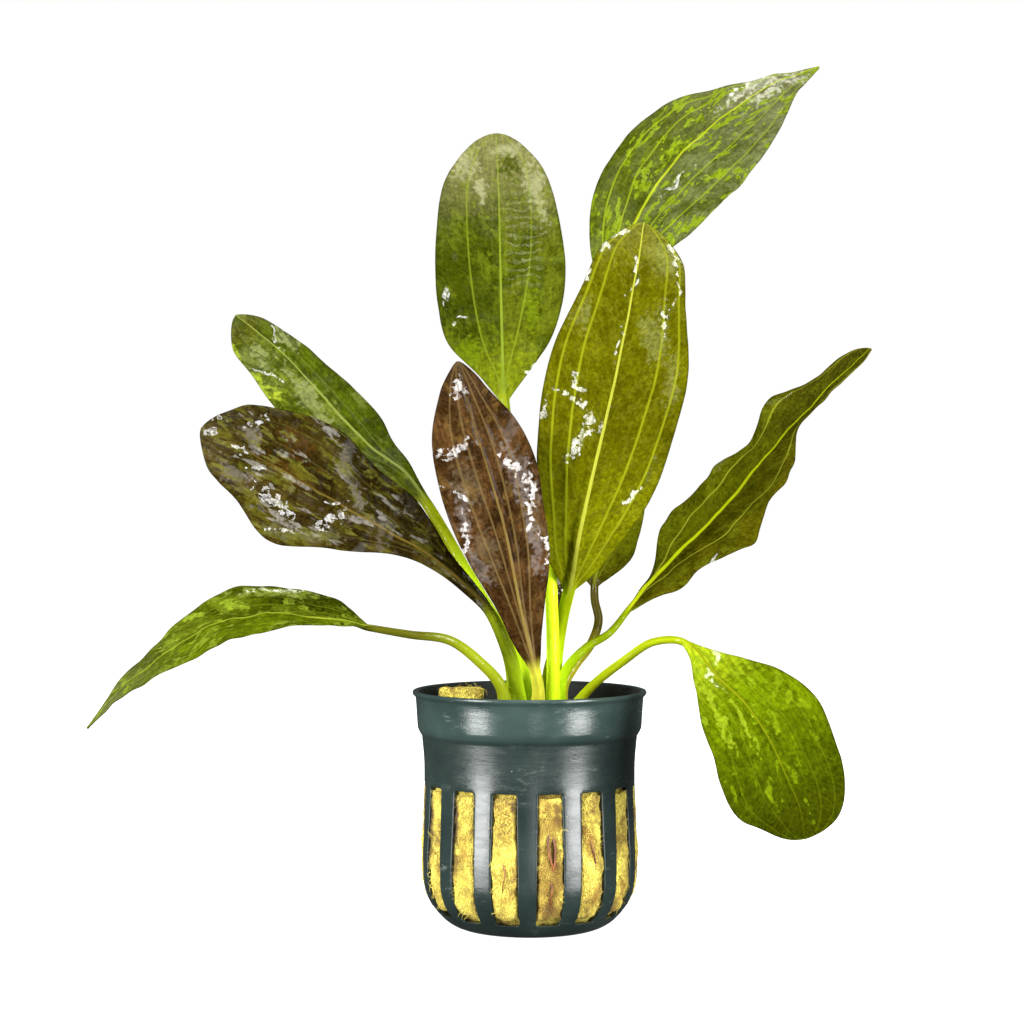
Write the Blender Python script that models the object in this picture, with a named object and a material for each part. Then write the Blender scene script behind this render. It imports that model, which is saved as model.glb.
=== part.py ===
"""An amazon sword plant in its net pot.

Eleven stalked leaves stand on a short crown, which sits on a plug of yellow rock wool in a
slotted plastic pot. The origin is the centre of the pot's flat base, +Z is up, and the side
with the two broad upright leaves faces -Y. Sizes are in millimetres until a mesh is made.
"""
import math

import bmesh
import bpy
import numpy as np
from mathutils import Vector

MM = 0.001
GAP = 0.3                       # air left between pieces that touch
SMOOTH_ANGLE = math.radians(40)
MERGE_DISTANCE = 0.001
HEIGHT_TOLERANCE = 0.01
ANGLE_TOLERANCE = 0.01

# Pot: a moulded net cup, 50 mm across its rim and 50 mm tall.
POT_HEIGHT = 50.0
RIM_RADIUS = 25.0
COLLAR_RADIUS = 24.3
COLLAR_FOOT_RADIUS = 23.9
COLLAR_FOOT = 42.4
STEP_FOOT = 40.2
NECK_RADIUS = 22.95
WAIST_RADIUS = 22.45
BELLY_RADIUS = 23.05
BELLY_LEVEL = 14.0
BASE_RADIUS = 15.0
CORNER_RADIUS = 18.0            # the rounded bottom corner, between the base and the slots
CORNER_LEVEL = 1.4
WALL = 0.9
FLOOR = 1.0
LIP_FOOT = 48.6
LIP_LEVEL = 49.3
LIP_ROUNDING = 0.2
POT_STEPS_PER_SLOT = 4

# Slots: fifteen, evenly spaced, running from under the neck into the rounded bottom corner.
SLOT_COUNT = 15
SLOT_PHASE = math.radians(-79.6)
SLOT_TOP = 30.5
SLOT_FOOT = 3.3
SLOT_HALF_ANGLE_TOP = math.radians(6.4)
SLOT_HALF_ANGLE_BELLY = math.radians(7.2)

# The cup's outer skin at the slots' levels, from the base up: (radius, height).
SLOT_SKIN = ((19.9, SLOT_FOOT), (21.5, 5.5), (22.6, 8.3), (BELLY_RADIUS, BELLY_LEVEL),
             (22.8, 22.0), (WAIST_RADIUS, SLOT_TOP))
# How much further in the inner skin lies at each of those levels: more where the wall slopes.
SLOT_WALL = (1.3, 1.15, 1.0, WALL, WALL, WALL)

# Rock wool: fills the cup to a little under the collar and swells out into every slot.
WOOL_TOP = 43.4
WOOL_TOP_CLEARANCE = 0.5        # between the wool's upper edge and the neck's inner skin
WOOL_FOOT_RADIUS = 14.3
WOOL_WALL_CLEARANCE = 0.4       # between the wool and the pot's inner skin at the slots' levels
WOOL_STEPS_PER_SLOT = 3
PAD_LEVELS = (3.9, 5.9, 8.5, BELLY_LEVEL, 22.0, 30.0)
PAD_SIDE_GAP = math.radians(0.9)
PAD_REACH = 1.4                 # how far a pad stands out of the plug, into its slot
FLAP_LEFT = -19.5
FLAP_RIGHT = -10.0
FLAP_FRONT = -2.0
FLAP_BACK = 3.5
FLAP_HEIGHT = 7.2
FLAP_LEAN = (0.4, 0.5)

# Crown: the flat knob that the leaf stalks grow from.
CROWN_CENTRE = (2.3, 0.6)
CROWN_HALF_WIDTH = 9.5
CROWN_HALF_DEPTH = 8.0
CROWN_HEIGHT = 2.3
CROWN_BEVEL = 1.0
CROWN_SEGMENTS = 28
CROWN_TOP = WOOL_TOP + GAP + CROWN_HEIGHT
STALK_FOOT = CROWN_TOP + GAP

# Leaves.
BLADE_THICKNESS = 0.8
RIB_HALF_WIDTH = 1.5
RIB_TAPER = 0.75                # share of the rib's height that is lost towards the tip
FOLD_SOFTNESS = 0.15
FOLD_ONSET = 8.0                # the fold is fully there at one part in this of the blade
FULL_RUFFLE_WIDTH = 8.0
FLATTENING = 3.0                # stalk radii of extra width over which the stalk turns flat
ROUND_SHARE = 0.866             # where the outer points of a round section and of a flat one lie
FLAT_SHARE = 0.6
INNER_SHARE = 0.5
TANGENT_REACH = 0.3
STALK_ROWS = 7
TIP_CROWDING = 1.2
TIP_HALF_WIDTH = 0.25
WIDTH_STATIONS = (0.0, 0.08, 0.2, 0.35, 0.5, 0.65, 0.8, 0.92, 1.0)
SCALLOP_STATIONS = (0.0, 0.0625, 0.125, 0.1875, 0.25, 0.3125, 0.375, 0.4375, 0.5, 0.5625, 0.625,
                    0.6875, 0.75, 0.8125, 0.875, 0.9375, 1.0)

# Each leaf is a spine from the crown to the tip, the spine point where its blade begins, the
# way its upper side faces at the blade's foot, middle and tip, and the blade's half widths at
# its stations to the left and right, seen on the upper side with the tip up.
LEAVES = {
    "leaf_low_left": dict(
        spine=((-5.0, -3.8, STALK_FOOT), (-5.8, -4.3, 50.3), (-10.9, -7.0, 56.7),
               (-16.7, -10.0, 61.1), (-24.9, -13.0, 62.5), (-33.0, -15.0, 64.0),
               (-47.0, -17.0, 66.7), (-61.5, -19.0, 66.0), (-73.5, -21.0, 59.5),
               (-83.5, -22.0, 51.5), (-90.0, -22.0, 44.0)),
        blade_from=5, stalk=(1.3, 0.7),
        facing=((0.0, -0.42, 0.91), (-0.1, -0.42, 0.9), (-0.65, -0.42, 0.6)),
        left=(0.7, 2, 5.5, 10, 11, 9, 5.5, 2.5, 0.3),
        right=(0.7, 7, 10, 11.5, 9.5, 6, 3.5, 1.5, 0.3),
        rows=15, fold=6, ruffle=0.0, waves=2.0, phase=(0.0, 0.5), rounding=1.0,
        colour=(0.30, 0.42, 0.03)),
    "leaf_dark_left": dict(
        spine=((-2.8, -0.3, STALK_FOOT), (-3.0, -0.5, 50.0), (-4.0, -1.5, 56.5),
               (-5.6, -2.6, 61.0), (-8.8, -3.8, 67.2), (-13.0, -5.0, 71.6), (-23.0, -7.0, 80.0),
               (-36.5, -9.0, 87.5), (-49.0, -9.5, 95.0), (-60.5, -9.5, 101.5), (-68.8, -9.0, 105.5)),
        blade_from=4, stalk=(2.0, 1.1),
        facing=((0.1, -0.93, 0.33), (0.15, -0.93, 0.33), (0.15, -0.93, 0.33)),
        left=(1.1, 1.3, 2, 4.5, 10, 15, 11, 8, 4),
        right=(1.1, 2, 3.5, 8.5, 11.5, 13.5, 12, 9, 5),
        rows=18, fold=6, ruffle=1.0, waves=2.5, phase=(0.0, 0.5), rounding=0.9,
        colour=(0.16, 0.09, 0.02)),
    "leaf_upper_left": dict(
        spine=((0.1, 2.2, STALK_FOOT), (-0.1, 3.0, 50.0), (-1.0, 4.0, 53.0), (-3.1, 5.5, 57.1),
               (-7.4, 8.0, 64.5), (-13.0, 10.0, 73.8), (-22.9, 14.0, 90.3), (-27.4, 15.5, 96.5),
               (-34.9, 18.0, 102.1), (-43.4, 21.0, 110.7), (-53.8, 24.0, 122.1),
               (-66.3, 26.0, 132.4)),
        blade_from=6, stalk=(1.4, 1.2),
        facing=((0.12, -0.9, 0.36), (0.12, -0.9, 0.36), (0.12, -0.9, 0.36)),
        left=(1.2, 3, 5.5, 8, 10, 10.5, 9, 7, 4),
        right=(1.2, 1.5, 3.5, 6.5, 6.5, 5.5, 4.5, 3.5, 2),
        rows=14, fold=8, ruffle=0.0, waves=2.0, phase=(0.0, 0.5), rounding=0.9,
        colour=(0.24, 0.36, 0.04)),
    "leaf_red_front": dict(
        spine=((1.6, -4.8, STALK_FOOT), (1.8, -6.0, 50.5), (1.0, -7.5, 55.2), (-2.1, -11.0, 68.7),
               (-5.2, -15.0, 84.3), (-8.7, -17.5, 96.7), (-12.3, -19.5, 108.5), (-14.9, -21.0, 118.6)),
        blade_from=2, stalk=(1.3, 1.2),
        facing=((-0.05, 0.97, 0.2), (-0.05, 0.97, 0.2), (-0.05, 0.97, 0.2)),
        left=(1.2, 2.6, 5.2, 8, 9, 10, 8, 4, 2),
        right=(1.2, 3.1, 4.8, 8.3, 10.5, 10.7, 9, 5, 2),
        rows=15, fold=6, ruffle=0.6, waves=3.0, phase=(0.0, 0.5), rounding=0.92,
        colour=(0.20, 0.07, 0.02)),
    "leaf_tall_back": dict(
        spine=((0.5, 5.5, STALK_FOOT), (0.4, 6.3, 50.0), (0.2, 8.6, 58.0), (-0.5, 12.0, 72.0),
               (-2.5, 19.0, 92.0), (-5.5, 27.0, 113.5), (-6.0, 31.0, 127.4), (-6.4, 35.0, 143.9),
               (-6.8, 38.0, 160.5), (-7.4, 40.0, 176.2)),
        blade_from=5, stalk=(1.3, 1.2),
        facing=((0.0, -0.98, 0.2), (0.0, -0.98, 0.2), (0.0, -0.98, 0.2)),
        left=(1.2, 5, 12, 14.5, 15, 14.5, 13, 9.5, 8),
        right=(1.2, 5, 10.5, 14, 15, 14, 12, 9, 7),
        rows=14, fold=6, ruffle=0.0, waves=2.0, phase=(0.0, 0.5), rounding=0.85,
        colour=(0.28, 0.40, 0.06)),
    "leaf_top_right": dict(
        spine=((5.0, -3.0, STALK_FOOT), (5.0, -3.2, 50.3), (4.9, -3.2, 61.0), (4.6, -1.6, 73.5),
               (5.8, 7.0, 93.0), (10.9, 18.0, 117.4), (16.8, 25.5, 131.0), (24.4, 34.0, 154.4),
               (33.5, 39.0, 168.6), (47.3, 42.0, 181.5), (59.3, 44.0, 189.2), (68.6, 45.0, 192.7)),
        blade_from=6, stalk=(1.4, 1.1),
        facing=((-0.1, -0.9, 0.4), (-0.23, -0.85, 0.47), (-0.23, -0.85, 0.47)),
        left=(1.1, 3, 7.5, 12.5, 14, 11.5, 5, 1.5, 0.3),
        right=(1.1, 3, 9, 15.5, 18, 17, 12, 5, 0.3),
        rows=15, fold=6, ruffle=0.5, waves=2.0, phase=(0.0, 0.5), rounding=1.0,
        colour=(0.24, 0.36, 0.04)),
    "leaf_broad_front": dict(
        spine=((5.2, 3.4, STALK_FOOT), (5.4, 3.3, 50.0), (5.7, 2.8, 54.0), (6.2, 1.9, 59.5),
               (7.1, 0.3, 65.5), (8.4, -2.4, 71.5), (10.1, -7.0, 82.2), (13.0, -10.5, 95.8),
               (16.6, -12.5, 111.3), (19.9, -13.0, 126.8), (22.3, -12.0, 139.5), (23.8, -9.5, 148.4)),
        blade_from=5, stalk=(1.3, 1.3),
        facing=((-0.1, 0.97, 0.1), (-0.1, 0.97, 0.1), (-0.1, 0.97, 0.0)),
        left=(1.3, 6.5, 11, 14.5, 15.3, 15, 12, 9.5, 6),
        right=(1.3, 5.5, 8.6, 12.3, 14, 13.5, 10.5, 8, 5),
        rows=17, fold=6, ruffle=0.8, waves=3.0, phase=(0.0, 0.5), rounding=0.9,
        colour=(0.30, 0.36, 0.02)),
    "leaf_small_back": dict(
        spine=((7.0, 6.2, STALK_FOOT), (7.4, 7.0, 50.0), (9.7, 9.0, 54.0), (13.8, 12.5, 59.3),
               (15.4, 15.0, 64.2), (14.6, 16.5, 68.5), (14.6, 17.5, 71.5), (15.9, 19.0, 77.3),
               (17.5, 21.0, 84.5), (18.8, 23.5, 91.9), (19.8, 26.0, 99.4), (20.6, 28.0, 104.4)),
        blade_from=6, stalk=(1.1, 0.9),
        facing=((-0.1, -0.9, 0.35), (-0.1, -0.9, 0.35), (-0.1, -0.9, 0.35)),
        left=(0.9, 4, 5.7, 6.5, 6.5, 6, 5, 3.5, 2),
        right=(0.9, 3.5, 6.7, 7.5, 7.8, 7.5, 6.5, 5, 3),
        rows=10, fold=6, ruffle=0.0, waves=2.0, phase=(0.0, 0.5), rounding=0.9,
        colour=(0.10, 0.16, 0.01)),
    "leaf_wavy_right": dict(
        spine=((6.4, 0.0, STALK_FOOT), (6.6, 0.2, 50.0), (7.4, 0.7, 53.2), (12.0, 2.5, 58.6),
               (17.4, 4.5, 61.9), (21.2, 6.0, 66.4), (24.1, 7.5, 70.0), (32.1, 10.0, 78.2),
               (46.4, 15.0, 92.5), (57.6, 19.0, 105.7), (66.1, 22.0, 114.3), (77.2, 24.0, 124.7)),
        blade_from=5, stalk=(1.2, 0.65),
        facing=((-0.39, -0.68, 0.6), (-0.46, -0.6, 0.64), (-0.58, -0.39, 0.7)),
        stations=SCALLOP_STATIONS,
        left=(0.7, 0.8, 1.8, 4.6, 8, 10.6, 8.8, 7.5, 8.8, 9, 7.6, 8.3, 9.8, 9, 6.6, 5.2, 5),
        right=(0.7, 4, 7.5, 9, 14.5, 16, 13.2, 11.8, 13.6, 10.2, 5.6, 3, 3.2, 2.5, 2, 2.4, 2.4),
        rows=26, fold=12, ruffle=2.0, waves=4.0, phase=(0.45, 0.27), rounding=0.92,
        colour=(0.12, 0.14, 0.01)),
    "leaf_drooping_right": dict(
        spine=((8.8, -3.3, STALK_FOOT), (11.7, -5.0, 49.6), (19.4, -11.0, 56.8), (25.9, -16.0, 61.3),
               (31.4, -20.0, 61.3), (34.0, -21.5, 59.3), (37.0, -23.0, 55.6), (42.8, -27.0, 49.5),
               (47.8, -29.0, 42.1), (51.1, -31.0, 34.8), (53.4, -31.5, 29.0), (54.6, -31.0, 23.0)),
        blade_from=4, stalk=(1.0, 0.75),
        facing=((0.1, -0.7, 0.7), (0.15, -0.95, 0.25), (0.15, -0.95, 0.2)),
        left=(0.8, 2, 6.7, 10.5, 12.8, 12, 11.5, 11, 11),
        right=(0.8, 2.5, 5.7, 10.3, 12, 13.5, 13.5, 12, 11),
        rows=14, fold=6, ruffle=0.0, waves=2.0, phase=(0.0, 0.5), rounding=0.72,
        colour=(0.30, 0.45, 0.02)),
    "leaf_young": dict(
        spine=((3.3, 5.4, STALK_FOOT), (3.4, 5.5, 50.0), (3.9, 5.2, 54.0), (5.0, 5.4, 58.0),
               (6.4, 5.4, 65.5), (7.6, 5.6, 73.0), (9.6, 6.8, 83.0)),
        blade_from=3, stalk=(0.9, 0.8),
        facing=((0.1, -0.95, 0.2), (0.1, -0.95, 0.2), (0.1, -0.95, 0.2)),
        left=(0.8, 1.0, 1.4, 2.0, 2.4, 2.4, 2.0, 1.4, 1.0),
        right=(0.8, 1.0, 1.4, 2.0, 2.4, 2.4, 2.0, 1.4, 1.0),
        rows=8, fold=20, ruffle=0.0, waves=2.0, phase=(0.0, 0.5), rounding=0.92,
        colour=(0.12, 0.05, 0.02)),
}


def clear_scene():
    """Take out whatever the scene held."""
    for thing in list(bpy.data.objects):
        bpy.data.objects.remove(thing, do_unlink=True)


def finish(name, colour, roughness):
    """A plain surface of one colour."""
    material = bpy.data.materials.new(name)
    material.use_nodes = True
    surface = material.node_tree.nodes["Principled BSDF"]
    surface.inputs["Base Color"].default_value = (*colour, 1.0)
    surface.inputs["Roughness"].default_value = roughness
    surface.inputs["Metallic"].default_value = 0.0
    return material


def place(name, bm, material):
    """Turn a millimetre bmesh into a named, smooth shaded object in metres."""
    bmesh.ops.scale(bm, vec=(MM, MM, MM), verts=bm.verts)
    bmesh.ops.recalc_face_normals(bm, faces=bm.faces)
    mesh = bpy.data.meshes.new(name)
    bm.to_mesh(mesh)
    bm.free()
    mesh.shade_smooth()
    mesh.set_sharp_from_angle(angle=SMOOTH_ANGLE)
    mesh.materials.append(material)
    thing = bpy.data.objects.new(name, mesh)
    bpy.context.scene.collection.objects.link(thing)
    return thing


def turned(profile, steps):
    """A closed body turned from a profile whose two ends lie on the Z axis."""
    bm = bmesh.new()
    points = [bm.verts.new((radius, 0.0, height)) for radius, height in profile]
    for lower, upper in zip(points, points[1:]):
        bm.edges.new((lower, upper))
    bmesh.ops.spin(bm, geom=bm.verts[:] + bm.edges[:], cent=(0, 0, 0), axis=(0, 0, 1),
                   angle=math.tau, steps=steps, use_merge=True)
    bmesh.ops.remove_doubles(bm, verts=bm.verts, dist=MERGE_DISTANCE)
    return bm


def slot_offset(point):
    """The angle from a point to the middle line of the slot nearest to it."""
    pitch = math.tau / SLOT_COUNT
    turn = math.atan2(point.y, point.x) - SLOT_PHASE
    return turn - pitch * round(turn / pitch)


def slot_half_angle(height):
    """Slots are a little narrower at their square tops than at the belly."""
    share = min(1.0, max(0.0, (SLOT_TOP - height) / (SLOT_TOP - BELLY_LEVEL)))
    return SLOT_HALF_ANGLE_TOP + share * (SLOT_HALF_ANGLE_BELLY - SLOT_HALF_ANGLE_TOP)


def align_columns(bm, steps_per_slot, side_gap):
    """Turn the mesh so a slot's two sides fall on columns, then set them the slot's width apart."""
    pitch = math.tau / SLOT_COUNT
    column = pitch / steps_per_slot
    edge_offset = column if steps_per_slot % 2 == 0 else column / 2
    for vert in bm.verts:
        radius = math.hypot(vert.co.x, vert.co.y)
        turn = math.atan2(vert.co.y, vert.co.x) + SLOT_PHASE - edge_offset
        vert.co.x = radius * math.cos(turn)
        vert.co.y = radius * math.sin(turn)
    for vert in bm.verts:
        offset = slot_offset(vert.co)
        if abs(abs(offset) - edge_offset) < ANGLE_TOLERANCE:
            radius = math.hypot(vert.co.x, vert.co.y)
            wanted = math.copysign(slot_half_angle(vert.co.z) - side_gap, offset)
            turn = math.atan2(vert.co.y, vert.co.x) + wanted - offset
            vert.co.x = radius * math.cos(turn)
            vert.co.y = radius * math.sin(turn)


def slot_faces(bm, foot, top):
    """The faces within the slots' width and height, grouped by slot."""
    groups = {}
    for face in bm.faces:
        heights = [vert.co.z for vert in face.verts]
        centre = face.calc_center_median()
        inside = abs(slot_offset(centre)) < SLOT_HALF_ANGLE_TOP
        if inside and min(heights) > foot - HEIGHT_TOLERANCE and max(heights) < top + HEIGHT_TOLERANCE:
            pitch = math.tau / SLOT_COUNT
            turn = math.atan2(centre.y, centre.x) - SLOT_PHASE
            groups.setdefault(round(turn / pitch) % SLOT_COUNT, []).append(face)
    return groups


def make_pot():
    """The net cup: turned body, slots cut through and their edges closed."""
    inner_slot_skin = [(radius - wall, height)
                       for (radius, height), wall in zip(SLOT_SKIN, SLOT_WALL)]
    outer = [(0.0, 0.0), (BASE_RADIUS, 0.0), (CORNER_RADIUS, CORNER_LEVEL), *SLOT_SKIN,
             (NECK_RADIUS, STEP_FOOT), (COLLAR_FOOT_RADIUS, COLLAR_FOOT), (COLLAR_RADIUS, LIP_FOOT),
             (RIM_RADIUS, LIP_LEVEL), (RIM_RADIUS - LIP_ROUNDING, POT_HEIGHT)]
    inner = [(0.0, FLOOR), (BASE_RADIUS, FLOOR), *inner_slot_skin,
             (NECK_RADIUS - WALL, STEP_FOOT), (COLLAR_FOOT_RADIUS - WALL, COLLAR_FOOT),
             (COLLAR_RADIUS - WALL, POT_HEIGHT)]
    bm = turned(outer + inner[::-1], SLOT_COUNT * POT_STEPS_PER_SLOT)
    align_columns(bm, POT_STEPS_PER_SLOT, 0.0)
    for faces in slot_faces(bm, SLOT_FOOT, SLOT_TOP).values():
        corners = {vert for face in faces for vert in face.verts}
        bmesh.ops.delete(bm, geom=faces, context="FACES")
        rim = {edge for vert in corners if vert.is_valid
               for edge in vert.link_edges if edge.is_boundary}
        bmesh.ops.bridge_loops(bm, edges=list(rim))
    return place("net_pot", bm, finish("dark green plastic", (0.028, 0.045, 0.048), 0.32))


def lid_faces(bm):
    """The faces of the wool's flat top."""
    return [face for face in bm.faces
            if face.calc_center_median().z > WOOL_TOP - HEIGHT_TOLERANCE]


def new_verts(extruded):
    """The vertices among what an extrusion returned."""
    return [item for item in extruded["geom"] if isinstance(item, bmesh.types.BMVert)]


def make_wool():
    """The plug of mineral wool, its swellings in the slots and the corner that stands up."""
    levels = [(radius - wall - WOOL_WALL_CLEARANCE, height)
              for (radius, _), wall, height in zip(SLOT_SKIN, SLOT_WALL, PAD_LEVELS)]
    profile = [(0.0, FLOOR + GAP), (WOOL_FOOT_RADIUS, FLOOR + GAP), *levels,
               (NECK_RADIUS - WALL - WOOL_TOP_CLEARANCE, WOOL_TOP), (0.0, WOOL_TOP)]
    bm = turned(profile, SLOT_COUNT * WOOL_STEPS_PER_SLOT)
    align_columns(bm, WOOL_STEPS_PER_SLOT, PAD_SIDE_GAP)
    for faces in slot_faces(bm, PAD_LEVELS[0], PAD_LEVELS[-1]).values():
        pad = bmesh.ops.extrude_face_region(bm, geom=faces)
        bmesh.ops.delete(bm, geom=faces, context="FACES_ONLY")
        for vert in new_verts(pad):
            radius = math.hypot(vert.co.x, vert.co.y)
            vert.co.x *= (radius + PAD_REACH) / radius
            vert.co.y *= (radius + PAD_REACH) / radius
    bmesh.ops.dissolve_faces(bm, faces=lid_faces(bm))
    for point, across in (((FLAP_LEFT, 0, 0), (1, 0, 0)), ((FLAP_RIGHT, 0, 0), (1, 0, 0)),
                          ((0, FLAP_FRONT, 0), (0, 1, 0)), ((0, FLAP_BACK, 0), (0, 1, 0))):
        lid = lid_faces(bm)
        edges = {edge for face in lid for edge in face.edges}
        verts = {vert for face in lid for vert in face.verts}
        bmesh.ops.bisect_plane(bm, geom=[*lid, *edges, *verts], plane_co=point, plane_no=across)
    middle = Vector(((FLAP_LEFT + FLAP_RIGHT) / 2, (FLAP_FRONT + FLAP_BACK) / 2, WOOL_TOP))
    foot = min(lid_faces(bm), key=lambda face: (face.calc_center_median() - middle).length)
    flap = bmesh.ops.extrude_face_region(bm, geom=[foot])
    bmesh.ops.delete(bm, geom=[foot], context="FACES_ONLY")
    bmesh.ops.translate(bm, vec=(*FLAP_LEAN, FLAP_HEIGHT), verts=new_verts(flap))
    bmesh.ops.triangulate(bm, faces=[face for face in bm.faces if len(face.verts) > 4])
    return place("rockwool_plug", bm, finish("yellow mineral wool", (0.62, 0.45, 0.10), 0.95))


def make_crown():
    """The short root stock: a low oval knob with rounded shoulders."""
    bm = bmesh.new()
    bmesh.ops.create_cone(bm, cap_ends=True, segments=CROWN_SEGMENTS, radius1=1.0, radius2=1.0,
                          depth=CROWN_HEIGHT)
    bmesh.ops.scale(bm, vec=(CROWN_HALF_WIDTH, CROWN_HALF_DEPTH, 1.0), verts=bm.verts)
    shoulder = [edge for edge in bm.edges if all(vert.co.z > 0 for vert in edge.verts)]
    bmesh.ops.bevel(bm, geom=shoulder, offset=CROWN_BEVEL, affect="EDGES", segments=2, profile=0.5,
                    material=-1)
    bmesh.ops.translate(bm, vec=(*CROWN_CENTRE, CROWN_TOP - CROWN_HEIGHT / 2), verts=bm.verts)
    return place("crown", bm, finish("pale green crown", (0.36, 0.42, 0.08), 0.5))


def flow(stations, values, at):
    """A smooth curve through the values at their stations, read at one place."""
    stations = np.asarray(stations, float)
    values = np.asarray(values, float)
    slopes = np.gradient(values, stations, axis=0)
    index = int(np.clip(np.searchsorted(stations, at, side="right") - 1, 0, len(stations) - 2))
    span = stations[index + 1] - stations[index]
    t = (at - stations[index]) / span
    return ((2 * t**3 - 3 * t**2 + 1) * values[index] + (t**3 - 2 * t**2 + t) * span * slopes[index]
            + (3 * t**2 - 2 * t**3) * values[index + 1] + (t**3 - t**2) * span * slopes[index + 1])


def spine_reader(spine):
    """The distance of each spine point along the spine, and a function from distance to place."""
    spine = np.asarray(spine, float)
    distance = np.concatenate(([0.0], np.cumsum(np.linalg.norm(np.diff(spine, axis=0), axis=1))))
    return distance, lambda at: flow(distance, spine, at)


def leaf_station(leaf, distance, where, at):
    """Place, across and up directions, blade share and half widths at a distance on the spine.

    The foot of every stalk is cut level, to stand on the crown.
    """
    foot = distance[leaf["blade_from"]]
    length = distance[-1]
    ahead = np.array((0.0, 0.0, 1.0))
    if at > 0:
        ahead = where(min(at + TANGENT_REACH, length)) - where(max(at - TANGENT_REACH, 0.0))
        ahead /= np.linalg.norm(ahead)
    share = (at - foot) / (length - foot)
    blade = max(0.0, share)
    facing = flow((0.0, 0.5, 1.0), leaf["facing"], blade)
    facing = facing - ahead * facing.dot(ahead)
    facing /= np.linalg.norm(facing)
    across = np.cross(ahead, facing)
    if share <= 0:
        stalk_foot, stalk_top = leaf["stalk"]
        width = stalk_foot + (stalk_top - stalk_foot) * min(1.0, at / foot)
        return where(at), across, facing, blade, width, width
    rounding = leaf["rounding"]
    close = 1.0
    if share > rounding:
        close = math.sqrt(max(0.0, 1.0 - ((share - rounding) / (1.0 - rounding)) ** 2))
    stations = leaf.get("stations", WIDTH_STATIONS)
    left, right = (max(TIP_HALF_WIDTH, float(flow(stations, leaf[side], share)) * close)
                   for side in ("left", "right"))
    return where(at), across, facing, blade, left, right


def leaf_lift(leaf, u, blade, width):
    """How far a point of the blade stands above its flat plane, by its fold and its ruffled edge."""
    spread = min(1.0, max(0.0, blade * FOLD_ONSET))
    fold = math.sin(math.radians(leaf["fold"])) * (math.hypot(u, FOLD_SOFTNESS) - FOLD_SOFTNESS)
    phase = leaf["phase"][0 if u < 0 else 1]
    wave = math.sin(math.tau * (leaf["waves"] * blade + phase)) * math.sin(math.pi * blade) ** 0.5
    ruffle = leaf["ruffle"] * min(1.0, width / FULL_RUFFLE_WIDTH)
    return spread * (width * fold + ruffle * u * u * wave)


def leaf_ring(leaf, station):
    """One closed cross-section: a round stalk that spreads into a thin blade with a rib below."""
    centre, across, up, blade, left, right = station
    stalk = leaf["stalk"][1]
    mean = (left + right) / 2
    flat = min(1.0, max(0.0, (mean - stalk) / (FLATTENING * stalk))) if blade > 0 else 0.0
    inner = min(INNER_SHARE, RIB_HALF_WIDTH / mean)
    outer = ROUND_SHARE + (FLAT_SHARE - ROUND_SHARE) * flat
    rib_height = stalk * (1 - RIB_TAPER * blade) * flat
    upper = (-1, -outer, -inner, 0, inner, outer)
    ring = []
    for side, shares in ((1, upper), (-1, [-u for u in upper])):
        for u in shares:
            width = left if u < 0 else right
            round_half = (left if blade == 0 else stalk) * math.sqrt(1 - u * u)
            thin_half = BLADE_THICKNESS / 2 * math.sqrt(1 - u * u)
            half = round_half + (thin_half - round_half) * flat
            rib = rib_height if side < 0 and u == 0 else 0.0
            height = side * (half + rib) + leaf_lift(leaf, u, blade, width)
            ring.append(centre + across * u * width + up * height)
    return ring


def leaf_rows(leaf, distance):
    """Distances for the cross-sections: even on the stalk, closer together at the tip."""
    foot = distance[leaf["blade_from"]]
    length = distance[-1]
    count = leaf["rows"]
    stalk = [foot * row / STALK_ROWS for row in range(STALK_ROWS)]
    blade = [foot + (length - foot) * math.sin(math.pi / 2 * row / count) ** TIP_CROWDING
             for row in range(count + 1)]
    return stalk + blade


def make_leaf(name, leaf):
    """One leaf, stalk and blade grown as one piece."""
    distance, where = spine_reader(leaf["spine"])
    bm = bmesh.new()
    rings = []
    for at in leaf_rows(leaf, distance):
        ring = leaf_ring(leaf, leaf_station(leaf, distance, where, at))
        rings.append([bm.verts.new(point) for point in ring])
    for lower, upper in zip(rings, rings[1:]):
        for index in range(len(lower)):
            after = (index + 1) % len(lower)
            bm.faces.new((lower[index], lower[after], upper[after], upper[index]))
    bm.faces.new(rings[0][::-1])
    bm.faces.new(rings[-1])
    bmesh.ops.triangulate(bm, faces=bm.faces)
    return place(name, bm, finish(name.replace("_", " "), leaf["colour"], 0.35))


clear_scene()
make_pot()
make_wool()
make_crown()
for leaf_name, leaf_design in LEAVES.items():
    make_leaf(leaf_name, leaf_design)
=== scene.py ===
"""Looks of a potted amazon sword plant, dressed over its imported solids.

The file follows the plant as it is put together: studio, pot, rock wool, roots, crown, leaves.
Sizes are in millimetres and are turned into metres where a mesh is made.
"""
import math
from functools import partial

import bmesh
import bpy
import numpy as np
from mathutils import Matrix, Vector, noise


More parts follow.
